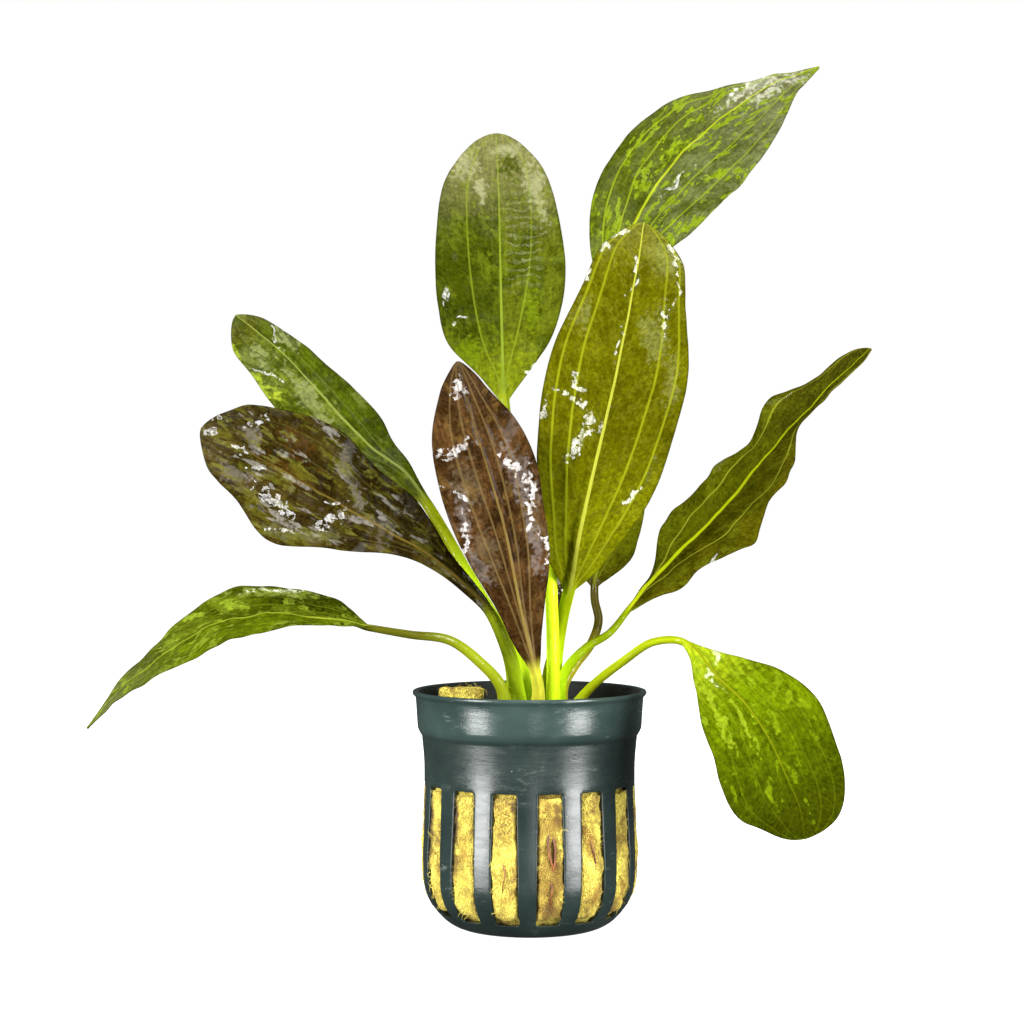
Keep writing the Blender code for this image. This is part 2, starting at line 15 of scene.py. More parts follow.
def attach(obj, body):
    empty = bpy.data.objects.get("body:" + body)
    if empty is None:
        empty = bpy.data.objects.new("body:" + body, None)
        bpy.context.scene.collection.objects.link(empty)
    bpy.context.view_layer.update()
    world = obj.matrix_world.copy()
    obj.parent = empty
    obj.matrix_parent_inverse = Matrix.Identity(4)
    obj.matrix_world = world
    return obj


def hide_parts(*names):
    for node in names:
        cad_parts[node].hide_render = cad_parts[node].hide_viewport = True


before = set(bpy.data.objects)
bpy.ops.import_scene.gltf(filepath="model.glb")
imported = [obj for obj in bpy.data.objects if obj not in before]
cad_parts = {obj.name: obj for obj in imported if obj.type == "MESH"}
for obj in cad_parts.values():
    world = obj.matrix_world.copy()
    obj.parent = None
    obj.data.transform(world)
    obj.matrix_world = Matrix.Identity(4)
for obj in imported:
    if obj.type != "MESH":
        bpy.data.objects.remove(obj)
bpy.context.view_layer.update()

# ---------------------------------------------------------------- studio
# A pale floor that fades into a white background, tall soft boxes left and right of the camera,
# two weaker ones behind that only fill the back, a broad light overhead and the camera at the
# photograph's angle.
MM = 0.001
CAMERA_PLACE = (-3.74, -440.0, 88.05)
CAMERA_LENS = 72.36
SENSOR = 36.0
FLOOR_RADIUS = 6000.0
WHITE_HEX = "FFFFFF"
FLOOR_HEX = "B4B4B4"
FLOOR_GLOW = 0.9
ROOM_STRENGTH = 0.3
GLOSS_ROOM_STRENGTH = 0.06
BACKGROUND_STRENGTH = 1.0

# Soft boxes: name, azimuth from the camera's side in degrees, distance, width, height, power.
SOFT_BOXES = (
    ("left_soft_box", -53, 620, 230, 700, 12.4),
    ("right_soft_box", 50, 620, 230, 700, 12.0),
    ("front_strip", 6, 640, 36, 700, 0.9),
    ("back_left_soft_box", -140, 620, 230, 700, 4.0),
    ("back_right_soft_box", 140, 620, 230, 700, 4.0),
)
SOFT_BOX_DROP = 120.0
TOP_LIGHT_HEIGHT = 700.0
TOP_LIGHT_SIZE = 320.0
TOP_LIGHT_POWER = 2.2
TOP_LIGHT_LEAN = 0.35
TOP_LIGHT_AIM = 90.0


def linear(code):
    """An sRGB hex colour as linear red, green, blue and alpha."""
    shares = [int(code[i:i + 2], 16) / 255 for i in (0, 2, 4)]
    return (*[s / 12.92 if s <= 0.04045 else ((s + 0.055) / 1.055) ** 2.4 for s in shares], 1.0)


def feed(node, inputs):
    """Set a node's inputs: a value, a hex colour, or a link from another node's output."""
    for name, value in inputs.items():
        socket = node.inputs[name]
        if isinstance(value, bpy.types.NodeSocket):
            node.id_data.links.new(value, socket)
        elif isinstance(value, str):
            socket.default_value = linear(value)[:len(socket.default_value)]
        else:
            socket.default_value = value


def add(tree, kind, *values, out=None, stops=(), **named):
    """Add a node and give back its first output or the one asked for.

    The kind can end in the mode that the node works in. Values go to its open inputs in order,
    a name in capitals is an input and one in small letters a setting; stops are a ramp's colours.
    """
    kind, _, mode = kind.partition(" ")
    node = tree.nodes.new("ShaderNode" + kind)
    if mode:
        setting = {"Mix": "data_type", "MapRange": "interpolation_type"}.get(kind, "operation")
        setattr(node, setting, mode)
    for name in [name for name in named if name.islower()]:
        setattr(node, name, named.pop(name))
    opened = [index for index, socket in enumerate(node.inputs) if socket.enabled]
    feed(node, {**dict(zip(opened, values)), **named})
    for position, colour in stops:
        node.color_ramp.elements.new(position).color = linear(colour)
    if stops:
        node.color_ramp.elements.remove(node.color_ramp.elements[-1])
        node.color_ramp.elements.remove(node.color_ramp.elements[0])
    return node.outputs[out] if out else next((end for end in node.outputs if end.enabled), None)


def material(name, roughness, values=None):
    """A new material, the function that adds its nodes, and its shader with these values set."""
    made = bpy.data.materials.new(name)
    made.use_nodes = True
    shader = made.node_tree.nodes["Principled BSDF"]
    feed(shader, {"Roughness": roughness, **(values or {})})
    return made, partial(add, made.node_tree), shader


def link(name, data, place=(0, 0, 0)):
    """An object in the scene, at a place in millimetres."""
    thing = bpy.data.objects.new(name, data)
    thing.location = Vector(place) * MM
    bpy.context.scene.collection.objects.link(thing)
    return thing


def piece(name, bm, finish, body="root"):
    """Link a millimetre bmesh as a smooth piece in metres, dressed and riding on its body."""
    bmesh.ops.scale(bm, vec=(MM, MM, MM), verts=bm.verts)
    mesh = bpy.data.meshes.new(name)
    bm.to_mesh(mesh)
    bm.free()
    mesh.shade_smooth()
    mesh.materials.append(finish)
    thing = link(name, mesh)
    if body:
        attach(thing, body)
    return thing


scene = bpy.context.scene
scene.view_settings.view_transform = "Standard"

camera_data = bpy.data.cameras.new("camera")
camera_data.lens = CAMERA_LENS
camera_data.sensor_width = SENSOR
camera = link("camera", camera_data, CAMERA_PLACE)
camera.rotation_euler = (math.radians(90), 0, 0)
scene.camera = camera

world = bpy.data.worlds.new("studio")
world.use_nodes = True
scene.world = world
world.node_tree.nodes.clear()
sky = partial(add, world.node_tree)
room = sky("Background", WHITE_HEX, ROOM_STRENGTH)
backdrop = sky("Background", WHITE_HEX, BACKGROUND_STRENGTH)
dim = sky("Background", WHITE_HEX, GLOSS_ROOM_STRENGTH)
glossy_ray = sky("LightPath", out="Is Glossy Ray")
lit = sky("MixShader", glossy_ray, room, dim)
either = sky("MixShader", glossy_ray.node.outputs["Is Camera Ray"], lit, backdrop)
sky("OutputWorld", either)


def area_light(name, place, target, width, height, power):
    """A rectangular soft light that faces a point; those behind don't show in the gloss."""
    data = bpy.data.lights.new(name, "AREA")
    data.shape = "RECTANGLE"
    data.size = width * MM
    data.size_y = height * MM
    data.energy = power
    light = link(name, data, place)
    light.rotation_euler = (Vector(target) - Vector(place)).to_track_quat("-Z", "Y").to_euler()
    light.visible_glossy = place[1] < 0


for name, azimuth, distance, width, height, power in SOFT_BOXES:
    turn = math.radians(azimuth)
    middle = height / 2 - SOFT_BOX_DROP
    area_light(name, (distance * math.sin(turn), -distance * math.cos(turn), middle),
               (0, 0, middle), width, height, power)
area_light("top_light", (0, -TOP_LIGHT_LEAN * TOP_LIGHT_HEIGHT, TOP_LIGHT_HEIGHT),
           (0, 0, TOP_LIGHT_AIM), TOP_LIGHT_SIZE, TOP_LIGHT_SIZE, TOP_LIGHT_POWER)

floor_finish, _, _ = material("matt_white_floor", 0.9, {
    "Base Color": FLOOR_HEX, "Specular IOR Level": 0.0,
    "Emission Color": WHITE_HEX, "Emission Strength": FLOOR_GLOW})
bm = bmesh.new()
bmesh.ops.create_circle(bm, cap_ends=True, segments=64, radius=FLOOR_RADIUS)
floor = piece("floor", bm, floor_finish, body=None)
floor.visible_glossy = False
floor.visible_diffuse = False
floor.visible_shadow = False

# ---------------------------------------------------------------- net pot
# The cup is injection moulded in one shot from dark blue green polypropylene: fifteen slots below
# a plain neck, a stepped collar and a small turned-out lip. Handling has scuffed and specked it.
SLOT_COUNT = 15
SLOT_PITCH = math.tau / SLOT_COUNT
SLOT_PHASE = math.radians(-79.6)
SLOT_TOP = 30.5
SLOT_FOOT = 3.3
SLOT_HALF_TOP = math.radians(6.4)
SLOT_HALF_BELLY = math.radians(7.2)
BELLY_LEVEL = 14.0
SLOT_CORNER = 0.55
SLOT_EDGE = 0.22
SHARP_ANGLE = 0.9
SHARP_BEYOND = 18.0
COLUMNS_PER_SLOT = 12
BASE_RADIUS = 15.0
WALL = 0.9
FLOOR_LEVEL = 1.0
FOOT_THICKENING = 0.4
FOOT_RISE = 5.0
BODY_STEPS = 30
# Outer skin of the corner below the slots, of the slotted body and of the neck: (radius, height).
CORNER_SKIN = ((15, 0), (15.5, 0.1), (18, 1.4), (19.9, SLOT_FOOT))
BODY_SKIN = ((19.9, SLOT_FOOT), (21.5, 5.5), (22.6, 8.3), (23.05, BELLY_LEVEL), (22.8, 22),
             (22.45, SLOT_TOP))
NECK_SKIN = ((22.45, SLOT_TOP), (22.5, 35), (22.95, 40.2))
COLLAR_SKIN = ((23, 40.5), (23.25, 40.85), (23.62, 41.5), (23.86, 42.1), (23.93, 42.7),
               (24, 44), (24.2, 47), (24.3, 48.35), (24.42, 48.75), (24.78, 49.05),
               (24.97, 49.35), (24.97, 49.65), (24.85, 49.9), (24.6, 50), (24.2, 49.98),
               (23.7, 49.75), (23.45, 49.2), (23.35, 48.3), (23.2, 46), (23, 42.6))
NECK_INSIDE = ((21.65, 35), (22.05, 40.2), (22.7, 41.9))


def bend(points, steps):
    """Points spread evenly along a smooth curve through the points given."""
    points = np.asarray(points, float)
    reach = np.concatenate(([0.0], np.cumsum(np.linalg.norm(np.diff(points, axis=0), axis=1))))
    return [tuple(point) for point in flow(reach, points, np.linspace(0, reach[-1], steps + 1))]


def flow(stations, values, at):
    """A smooth curve through the values at their stations, read at many places."""
    stations = np.asarray(stations, float)
    values = np.asarray(values, float)
    slopes = np.gradient(values, stations, axis=0)
    index = np.clip(np.searchsorted(stations, at, side="right") - 1, 0, len(stations) - 2)
    span = stations[index + 1] - stations[index]
    t = (at - stations[index]) / span
    if values.ndim == 2:
        span = span[:, None]
        t = t[:, None]
    return ((2 * t**3 - 3 * t**2 + 1) * values[index] + (t**3 - 2 * t**2 + t) * span * slopes[index]
            + (3 * t**2 - 2 * t**3) * values[index + 1] + (t**3 - t**2) * span * slopes[index + 1])


def body_line(inset, thickening):
    """The slotted body's skin moved inward, and a little more near its foot."""
    return [(radius - inset - thickening * max(0.0, 1 - (height - SLOT_FOOT) / FOOT_RISE), height)
            for radius, height in bend(BODY_SKIN, BODY_STEPS)]


def turned(profile, steps):
    """A closed body turned from a profile whose two ends lie on the Z axis."""
    bm = bmesh.new()
    points = [bm.verts.new((radius, 0.0, height)) for radius, height in profile]
    for lower, upper in zip(points, points[1:]):
        bm.edges.new((lower, upper))
    bmesh.ops.spin(bm, geom=bm.verts[:] + bm.edges[:], cent=(0, 0, 0), axis=(0, 0, 1),
                   angle=math.tau, steps=steps, use_merge=True)
    bmesh.ops.remove_doubles(bm, verts=bm.verts, dist=0.001)
    return bm


def slot_offset(point):
    """The angle from a point to the middle line of the slot nearest to it."""
    turn = math.atan2(point.y, point.x) - SLOT_PHASE
    return turn - SLOT_PITCH * round(turn / SLOT_PITCH)


def slot_half_angle(height):
    """Half the angle that a slot spans at a height."""
    share = min(1.0, max(0.0, (SLOT_TOP - height) / (SLOT_TOP - BELLY_LEVEL)))
    return SLOT_HALF_TOP + share * (SLOT_HALF_BELLY - SLOT_HALF_TOP)


def align_columns(bm, side_gap):
    """Turn the mesh onto the slots and set the columns beside each slot on its two edges."""
    column = SLOT_PITCH / COLUMNS_PER_SLOT
    nearest = round(SLOT_HALF_TOP / column) * column
    for vert in bm.verts:
        radius = math.hypot(vert.co.x, vert.co.y)
        turn = math.atan2(vert.co.y, vert.co.x) + SLOT_PHASE
        vert.co.xy = (radius * math.cos(turn), radius * math.sin(turn))
        offset = slot_offset(vert.co)
        if abs(abs(offset) - nearest) < column / 4:
            turn += math.copysign(slot_half_angle(vert.co.z) - side_gap, offset) - offset
            vert.co.xy = (radius * math.cos(turn), radius * math.sin(turn))


def slot_faces(bm, foot, top):
    """The faces within the slots' width and height, grouped by slot."""
    groups = {}
    for face in bm.faces:
        heights = [vert.co.z for vert in face.verts]
        centre = face.calc_center_median()
        if (abs(slot_offset(centre)) < SLOT_HALF_TOP and centre.xy.length > BASE_RADIUS
                and min(heights) > foot - 0.01 and max(heights) < top + 0.01):
            turn = math.atan2(centre.y, centre.x) - SLOT_PHASE
            groups.setdefault(round(turn / SLOT_PITCH) % SLOT_COUNT, []).append(face)
    return groups


def is_corner(edge):
    """Whether an edge runs through the wall at a corner of a slot."""
    for vert in edge.verts:
        level = min(abs(vert.co.z - SLOT_TOP), abs(vert.co.z - SLOT_FOOT))
        aside = abs(abs(slot_offset(vert.co)) - slot_half_angle(vert.co.z))
        if level >= 0.01 or aside >= 0.002 or vert.co.xy.length <= BASE_RADIUS:
            return False
    one, two = edge.verts
    return one.co.z == two.co.z and abs(slot_offset(one.co) - slot_offset(two.co)) < 0.01


def rounded(bm, edges, offset, segments):
    """Round these edges."""
    bmesh.ops.bevel(bm, geom=edges, offset=offset, affect="EDGES", segments=segments, profile=0.5,
                    material=-1, clamp_overlap=True)


outer = [(0, 0), *bend(CORNER_SKIN, 8), *bend(BODY_SKIN, BODY_STEPS)[1:], *bend(NECK_SKIN, 10)[1:]]
inner = [(0, FLOOR_LEVEL), (BASE_RADIUS, FLOOR_LEVEL), *body_line(WALL, FOOT_THICKENING),
         *NECK_INSIDE]
bm = turned([*outer, *COLLAR_SKIN, *inner[::-1]], SLOT_COUNT * COLUMNS_PER_SLOT)
align_columns(bm, 0.0)
for faces in slot_faces(bm, SLOT_FOOT, SLOT_TOP).values():
    corners = {vert for face in faces for vert in face.verts}
    bmesh.ops.delete(bm, geom=faces, context="FACES")
    rim = {edge for vert in corners if vert.is_valid
           for edge in vert.link_edges if edge.is_boundary}
    bmesh.ops.bridge_loops(bm, edges=list(rim))
bmesh.ops.recalc_face_normals(bm, faces=bm.faces)
rounded(bm, [edge for edge in bm.edges if is_corner(edge)], SLOT_CORNER, 3)
rounded(bm, [edge for edge in bm.edges
             if edge.is_manifold and edge.calc_face_angle() > SHARP_ANGLE
             and edge.verts[0].co.xy.length > SHARP_BEYOND
             and SLOT_FOOT - 0.4 < min(vert.co.z for vert in edge.verts)
             and max(vert.co.z for vert in edge.verts) < SLOT_TOP + 0.4], SLOT_EDGE, 2)
bmesh.ops.recalc_face_normals(bm, faces=bm.faces)

POT_HEX = "182220"
POT_LIGHT_HEX = "232E2B"
SCUFF_HEX = "5B645F"
SPECK_HEX = "888C85"
# painted light: how much paler the collar's colour is painted than the rest of the cup
COLLAR_PAINTED_LIGHT = 1.8
INSIDE_SHADE = 0.85
INSIDE_MATT = 0.5
NECK_MATT = 0.1
# Heights and radii between which the finish changes, in metres.
NECK_FROM = (0.0295, 0.034)
NECK_TO = (0.0412, 0.0402)
COLLAR_FROM = (0.0405, 0.0415)
INSIDE_FROM = (0.0418, 0.0428)
INSIDE_WITHIN = (0.02385, 0.02375)
# Marks per metre: clouds, rubs round the cup, rubbed places, specks, specked places, moulded grain.
CLOUDS = 90.0
RUBS = (260.0, 260.0, 900.0)
RUBBED = 120.0
SPECKS = 420.0
SPECKED = 200.0
GRAINS = 1500.0


def pot_plastic():
    """Moulded polypropylene: a satin skin in two close tones, scuffed, specked, fine grained."""
    made, node, shader = material("moulded_polypropylene", 0.3, {"IOR": 1.49,
                                                                 "Specular IOR Level": 0.4})
    place = node("TexCoord", out="Object")
    cloud = node("TexNoise", place, Scale=CLOUDS, Detail=5)
    body = node("ValToRGB", cloud, stops=((0.35, POT_HEX), (0.75, POT_LIGHT_HEX)))
    # scuffs: faint rubs round the cup, about four millimetres long and one high
    drawn = node("Mapping", place, Scale=RUBS)
    rub = node("TexNoise", drawn, Scale=1, Detail=6, Roughness=0.7)
    where = node("TexNoise", place, Scale=RUBBED, Detail=2)
    scuff = node("MapRange", rub, 0.55, 0.75)
    there = node("MapRange", where, 0.5, 0.7)
    scuffed = node("Math MULTIPLY", scuff, there)
    tint = node("Mix RGBA", scuffed, body, SCUFF_HEX)
    # specks: dried mineral dust, a quarter of a millimetre across
    grains = node("TexVoronoi", place, Scale=SPECKS)
    size = node("TexNoise", place, Scale=SPECKED)
    reach = node("MapRange", size, 0.55, 0.8, 0, 0.16)
    speck = node("Math LESS_THAN", grains, reach)
    dusted = node("Mix RGBA", speck, tint, SPECK_HEX)
    # the collar and the bars left a polished mould; the neck and the inside were left matt
    gloss = node("MapRange", rub, 0.3, 0.8, 0.12, 0.36)
    level = node("SeparateXYZ", place, out="Z")
    over = node("MapRange", level, *NECK_FROM)
    under = node("MapRange", level, *NECK_TO)
    neck = node("Math MULTIPLY", over, under)
    flat = node("VectorMath MULTIPLY", place, (1, 1, 0))
    radius = node("VectorMath LENGTH", flat)
    high = node("MapRange", level, *INSIDE_FROM)
    inward = node("MapRange", radius, *INSIDE_WITHIN)
    hidden = node("Math MULTIPLY", high, inward)
    # painted shade: the inside of the cup's mouth is darkened in its colour
    shade = node("Math MULTIPLY_ADD", hidden, -INSIDE_SHADE, 1)
    # painted light: the collar's colour is painted paler than the rest of the cup
    painted_collar_light = node("MapRange", level, *COLLAR_FROM, 1, COLLAR_PAINTED_LIGHT)
    shaded = node("VectorMath MULTIPLY", dusted, shade)
    shaded = node("VectorMath MULTIPLY", shaded, painted_collar_light)
    dull = node("Math MULTIPLY_ADD", neck, NECK_MATT, gloss)
    dull = node("Math MULTIPLY_ADD", hidden, INSIDE_MATT, dull)
    grain = node("TexNoise", place, Scale=GRAINS, Detail=3)
    rubbed = node("Bump", Height=rub, Strength=0.45, Distance=0.1 * MM)
    fine = node("Bump", Height=grain, Strength=0.12, Distance=0.1 * MM, Normal=rubbed)
    feed(shader, {"Base Color": shaded, "Roughness": dull, "Normal": fine})
    return made


pot = piece("pot_cup", bm, pot_plastic())
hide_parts("net_pot")

# ---------------------------------------------------------------- rock wool
# A plug of yellow mineral wool, spun rock fibre felted into a mat and packed in the cup. It swells
# out into the slots, its ragged foot stops short of them, and one torn corner stands up.
WOOL_TOP = 43.4
WOOL_CLEARANCE = 0.4
WOOL_THINNING = 0.3
WOOL_FOOT = FLOOR_LEVEL + 0.4
WOOL_FOOT_RADIUS = 14.3
WOOL_CORNER = (17.6, 3.0)
WOOL_RIM_RADIUS = 21.1
PAD_FOOT = 4.4
PAD_TOP = 30.0
PAD_REACH = 1.15
PAD_SIDE_GAP = math.radians(0.5)
PAD_ROUNDING = 0.35
BIG_LUMP_SIZE = 3.2
SMALL_LUMP_SIZE = 1.1
LUMP = 0.55
FLAP_CENTRE = (-14.55, 1.0, 46.6)
FLAP_SIZE = (9.3, 5.0, 7.4)
FLAP_ROUNDING = 0.8
FLAP_LUMP = 0.5


def wool_lumps(bm, seed, height):
    """Push a surface in and out by felted lumps of two sizes."""
    bmesh.ops.recalc_face_normals(bm, faces=bm.faces)
    shift = Vector((seed * 7.1, seed * 3.3, seed * 5.7))
    moves = []
    for vert in bm.verts:
        big = noise.noise(vert.co / BIG_LUMP_SIZE + shift)
        small = noise.noise(vert.co / SMALL_LUMP_SIZE + shift)
        moves.append(vert.normal * height * (big + 0.45 * small))
    for vert, move in zip(bm.verts, moves):
        vert.co += move


levels = [(radius, height) for radius, height in body_line(WALL + WOOL_CLEARANCE, WOOL_THINNING)
          if PAD_FOOT < height < PAD_TOP]
profile = [*[(WOOL_FOOT_RADIUS * share, WOOL_FOOT) for share in (0, 0.35, 0.7, 1)], WOOL_CORNER,
           *levels, *[(WOOL_RIM_RADIUS, level) for level in np.linspace(31, 42.9, 10)],
           *[(WOOL_RIM_RADIUS * share, WOOL_TOP) for share in np.linspace(0.97, 0.1, 22)],
           (0, WOOL_TOP)]
bm = turned(profile, SLOT_COUNT * COLUMNS_PER_SLOT)
align_columns(bm, PAD_SIDE_GAP)
for faces in slot_faces(bm, levels[0][1], levels[-1][1]).values():
    pad = bmesh.ops.extrude_face_region(bm, geom=faces)["geom"]
    bmesh.ops.delete(bm, geom=faces, context="FACES_ONLY")
    for vert in (item for item in pad if isinstance(item, bmesh.types.BMVert)):
        radius = vert.co.xy.length
        aside = abs(slot_offset(vert.co)) / slot_half_angle(vert.co.z)
        vert.co.xy *= (radius + PAD_REACH * (1 - PAD_ROUNDING * aside ** 4)) / radius
bmesh.ops.subdivide_edges(bm, edges=[edge for edge in bm.edges if edge.calc_length() > 1.0],
                          cuts=1, use_grid_fill=True)
wool_lumps(bm, 1, LUMP)

STRAW_HEX = "B8A23E"
PALE_STRAW_HEX = "E0CE56"
SHADE_HEX = "765A1E"
BOTH_SKINS = 1e4
PATCH_OUTER = 1.2
STAIN_AND_SHADE_INNER = 0.2
# Marks per metre: patches of tone, threads and the clumps they lie in.
WOOL_PATCHES = 200.0
THREADS = 520.0
CLUMPS = 650.0
# Staining and painted shade: colour, how much shows, and ovals as (degrees from +X, height,
# half width, half height).
STAINS_AND_SLOT_SHADE = (
    ("6E500E", 0.75, ((-79.5, 18, 12, 24),)),
    ("54380E", 0.7, ((-78.5, 18, 3, 5), (-76.4, 27, 2, 3), (-80, 8, 3, 2.5))),
    # painted shade: this dark brown lies on the left sides of the two left slots and at one slot's
    # top corner, where the slot walls shade the wool
    ("3E280C", 0.85, ((-133, 24, 2, 8), (-156, 22, 3.4, 12), (-99, 28, 1.6, 2))),
    ("8E6A20", 0.6, ((-104, 9, 5, 2), (-58, 19, 3, 5), (-54, 10, 3, 3), (-126, 18, 3, 3),
                     (-33, 10, 3, 4))),
)


def inside(node, place, rows, fray, inner):
    """1 inside any of these ovals and 0 outside, with frayed edges.

    A row is the oval's middle, half its length and half its width, and its turn in degrees; on a
    leaf the place is in mm right of the midrib and above the blade's foot.
    """
    nearest = None
    for x, y, half_length, half_width, turn in rows:
        moved = node("Mapping", place, Location=(x, y, 0), Rotation=(0, 0, math.radians(turn)),
                     Scale=(half_length, half_width, BOTH_SKINS), vector_type="TEXTURE")
        reach = node("VectorMath LENGTH", moved)
        nearest = node("Math MINIMUM", nearest, reach) if nearest else reach
    frayed = node("Math", nearest, fray)
    return node("MapRange SMOOTHSTEP", frayed, PATCH_OUTER, inner)


def patched(node, ground, patches, place, fray, inner):
    """A ground with patches of another tone laid over it: each a colour, its share, its ovals."""
    for colour, show, rows in patches:
        mask = node("Math MULTIPLY", inside(node, place, rows, fray, inner), show)
        ground = node("Mix RGBA", mask, ground, colour)
    return ground


def stained_and_shaded(node, place, ground, cloud):
    """A ground with peat and root staining and painted shade at their places round the plug."""
    x, y, z = node("SeparateXYZ", place).node.outputs
    turn = node("Math ARCTAN2", y, x)
    round_plug = node("CombineXYZ", turn, z)
    fray = node("MapRange", cloud, 0.3, 0.7, -0.5, 0.5)
    stains_and_shade = [(colour, show, [(math.radians(angle), height * MM, math.radians(half_width),
                               half_height * MM, 0)
                              for angle, height, half_width, half_height in rows])
              for colour, show, rows in STAINS_AND_SLOT_SHADE]
    return patched(node, ground, stains_and_shade, round_plug, fray, STAIN_AND_SHADE_INNER)


def mineral_wool():
    """Felted rock fibre, dull and soft: straw yellow with earth stain and painted shade."""
    made, node, shader = material("mineral_wool", 0.9, {"IOR": 1.5})
    place = node("TexCoord", out="Object")
    patch = node("TexNoise", place, Scale=WOOL_PATCHES, Detail=4, Roughness=0.6)
    tone = node("ValToRGB", patch,
                stops=((0.34, SHADE_HEX), (0.48, STRAW_HEX), (0.62, PALE_STRAW_HEX)))
    # fibres: matted threads, drawn about 0.3 mm wide, coarser than real ones, so that they show
    strands = node("TexWave", place, THREADS, 30, 4, 0.8, out="Fac")
    clumps = node("TexNoise", place, Scale=CLUMPS, Detail=5, Roughness=0.7, Distortion=1.5)
    threads = node("Mix", 0.68, strands, clumps)
    dark = node("MapRange", threads, 0.3, 0.7, 0.46, 1.2)
    shaded = node("Mix RGBA", 1, tone, dark, blend_type="MULTIPLY")
    felt = node("Bump", Height=threads, Strength=1, Distance=0.5 * MM)
    feed(shader, {"Base Color": stained_and_shaded(node, place, shaded, patch), "Normal": felt})
    return made


wool_finish = mineral_wool()
wool = piece("wool_plug", bm, wool_finish)
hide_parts("rockwool_plug")

# the torn corner, a block of the same felt that leans a little to the back
bm = bmesh.new()
bmesh.ops.create_cube(bm, size=1.0)
bmesh.ops.scale(bm, vec=FLAP_SIZE, verts=bm.verts)
rounded(bm, bm.edges[:], FLAP_ROUNDING, 2)
bmesh.ops.subdivide_edges(bm, edges=bm.edges[:], cuts=14, use_grid_fill=True)
bmesh.ops.translate(bm, vec=FLAP_CENTRE, verts=bm.verts)
wool_lumps(bm, 2, FLAP_LUMP)
flap = piece("wool_corner", bm, wool_finish)

# loose fibres, felted threads that stand off the surface: each a thin three-sided strand, drawn
# 0.12 mm thick, where real ones are finer, so that they show
FIBRE_RADIUS = 0.06
FIBRE_TAPER = 0.3
FIBRE_STEPS = 5
FIBRES_PER_SLOT = 190
FIBRES_ON_TOP = 420
FIBRES_ON_FLAP = 130
FIBRE_SHADE_HEX = "7E5E20"
FIBRE_HEX = "E8D660"
FIBRE_PATCHES = 220.0


def strand_mesh(name, sides, steps):
    """A straight strand one long and one in radius, closed at both ends, to be bent later."""
    strand = bmesh.new()
    bmesh.ops.create_cone(strand, cap_ends=True, segments=sides, radius1=1, radius2=1, depth=1)
    bmesh.ops.translate(strand, vec=(0, 0, 0.5), verts=strand.verts)
    upright = [edge for edge in strand.edges if abs(edge.verts[0].co.z - edge.verts[1].co.z) > 0.5]
    bmesh.ops.subdivide_edges(strand, edges=upright, cuts=steps - 1)
    mesh = bpy.data.meshes.new(name)
    strand.to_mesh(mesh)
    strand.free()
    return mesh


def lay_strand(bm, strand, start, ahead, aside, length, bow):
    """Copy the strand into the mesh, bent along a bowed line from its start."""
    first = len(bm.verts)
    bm.from_mesh(strand)
    bm.verts.ensure_lookup_table()
    other = ahead.cross(aside).normalized()
    for index in range(first, len(bm.verts)):
        vert = bm.verts[index]
        share = vert.co.z
        thin = FIBRE_RADIUS * (1 - (1 - FIBRE_TAPER) * share)
        line = ahead * (length * share) + aside * (bow * 4 * share * (1 - share))
        vert.co = start + line + aside * (vert.co.x * thin) + other * (vert.co.y * thin)


def wool_fibre(bm, draw, place, normal, lift):
    """One loose fibre lying nearly flat on the wool, bowed along or off the surface."""
    turn = draw.uniform(0, math.tau)
    flat_a = normal.orthogonal().normalized()
    flat_b = normal.cross(flat_a)
    ahead = flat_a * math.cos(turn) + flat_b * math.sin(turn) + normal * draw.uniform(-0.05, lift)
    aside = normal * draw.uniform(-0.2, 1) + ahead.cross(normal) * draw.uniform(-1, 1)
    lay_strand(bm, fibre, place, ahead.normalized(), aside.normalized(), draw.uniform(0.8, 2.3),
               draw.uniform(-0.5, 0.7))


def pad_radius(height):
    """The radius of the wool's pads at a height."""
    return float(np.interp(height, [level for _, level in levels],
                           [radius for radius, _ in levels])) + PAD_REACH


fibre = strand_mesh("fibre", 3, FIBRE_STEPS)
draw = np.random.default_rng(11)
bm = bmesh.new()
for slot in range(SLOT_COUNT):
    for _ in range(FIBRES_PER_SLOT):
        height = draw.uniform(PAD_FOOT + 0.6, PAD_TOP - 0.8)
        turn = SLOT_PHASE + slot * SLOT_PITCH + draw.uniform(-0.75, 0.75) * slot_half_angle(height)
        normal = Vector((math.cos(turn), math.sin(turn), 0))
        place = normal * (pad_radius(height) - 0.1) + Vector((0, 0, height))
        wool_fibre(bm, draw, place, normal, 0.12)
for _ in range(FIBRES_ON_TOP):
    turn = draw.uniform(0, math.tau)
    radius = 20.0 * math.sqrt(draw.uniform(0.1, 1))
    wool_fibre(bm, draw, Vector((radius * math.cos(turn), radius * math.sin(turn), WOOL_TOP)),
               Vector((0, 0, 1)), 0.25)
for _ in range(FIBRES_ON_FLAP):
    toward = Vector(draw.normal(size=3)).normalized()
    reach = min(FLAP_SIZE[axis] / 2 / max(abs(toward[axis]), 1e-6) for axis in range(3))
    wool_fibre(bm, draw, Vector(FLAP_CENTRE) + toward * reach * 0.97, toward, 0.2)

fibre_finish, node, shader = material("loose_mineral_fibre", 0.6)
place = node("TexCoord", out="Object")
shade = node("TexNoise", place, Scale=FIBRE_PATCHES, Detail=3)
tone = node("ValToRGB", shade, stops=((0.35, FIBRE_SHADE_HEX), (0.6, FIBRE_HEX)))
feed(shader, {"Base Color": stained_and_shaded(node, place, tone, shade)})
fibres = piece("wool_fibres", bm, fibre_finish)

# ---------------------------------------------------------------- roots
# Red brown roots of the plant that have grown through the wool and show in the front slots,
# smooth round strands of plant tissue, the thickest about 0.6 mm across.
ROOT_HEX = "4E200A"
ROOT_PALE_HEX = "864E1C"
ROOT_STREAKS = 500.0
ROOT_LIFT = 0.45
ROOT_TAPER = 0.3
ROOT_SIDES = 8
ROOT_STEPS = 26
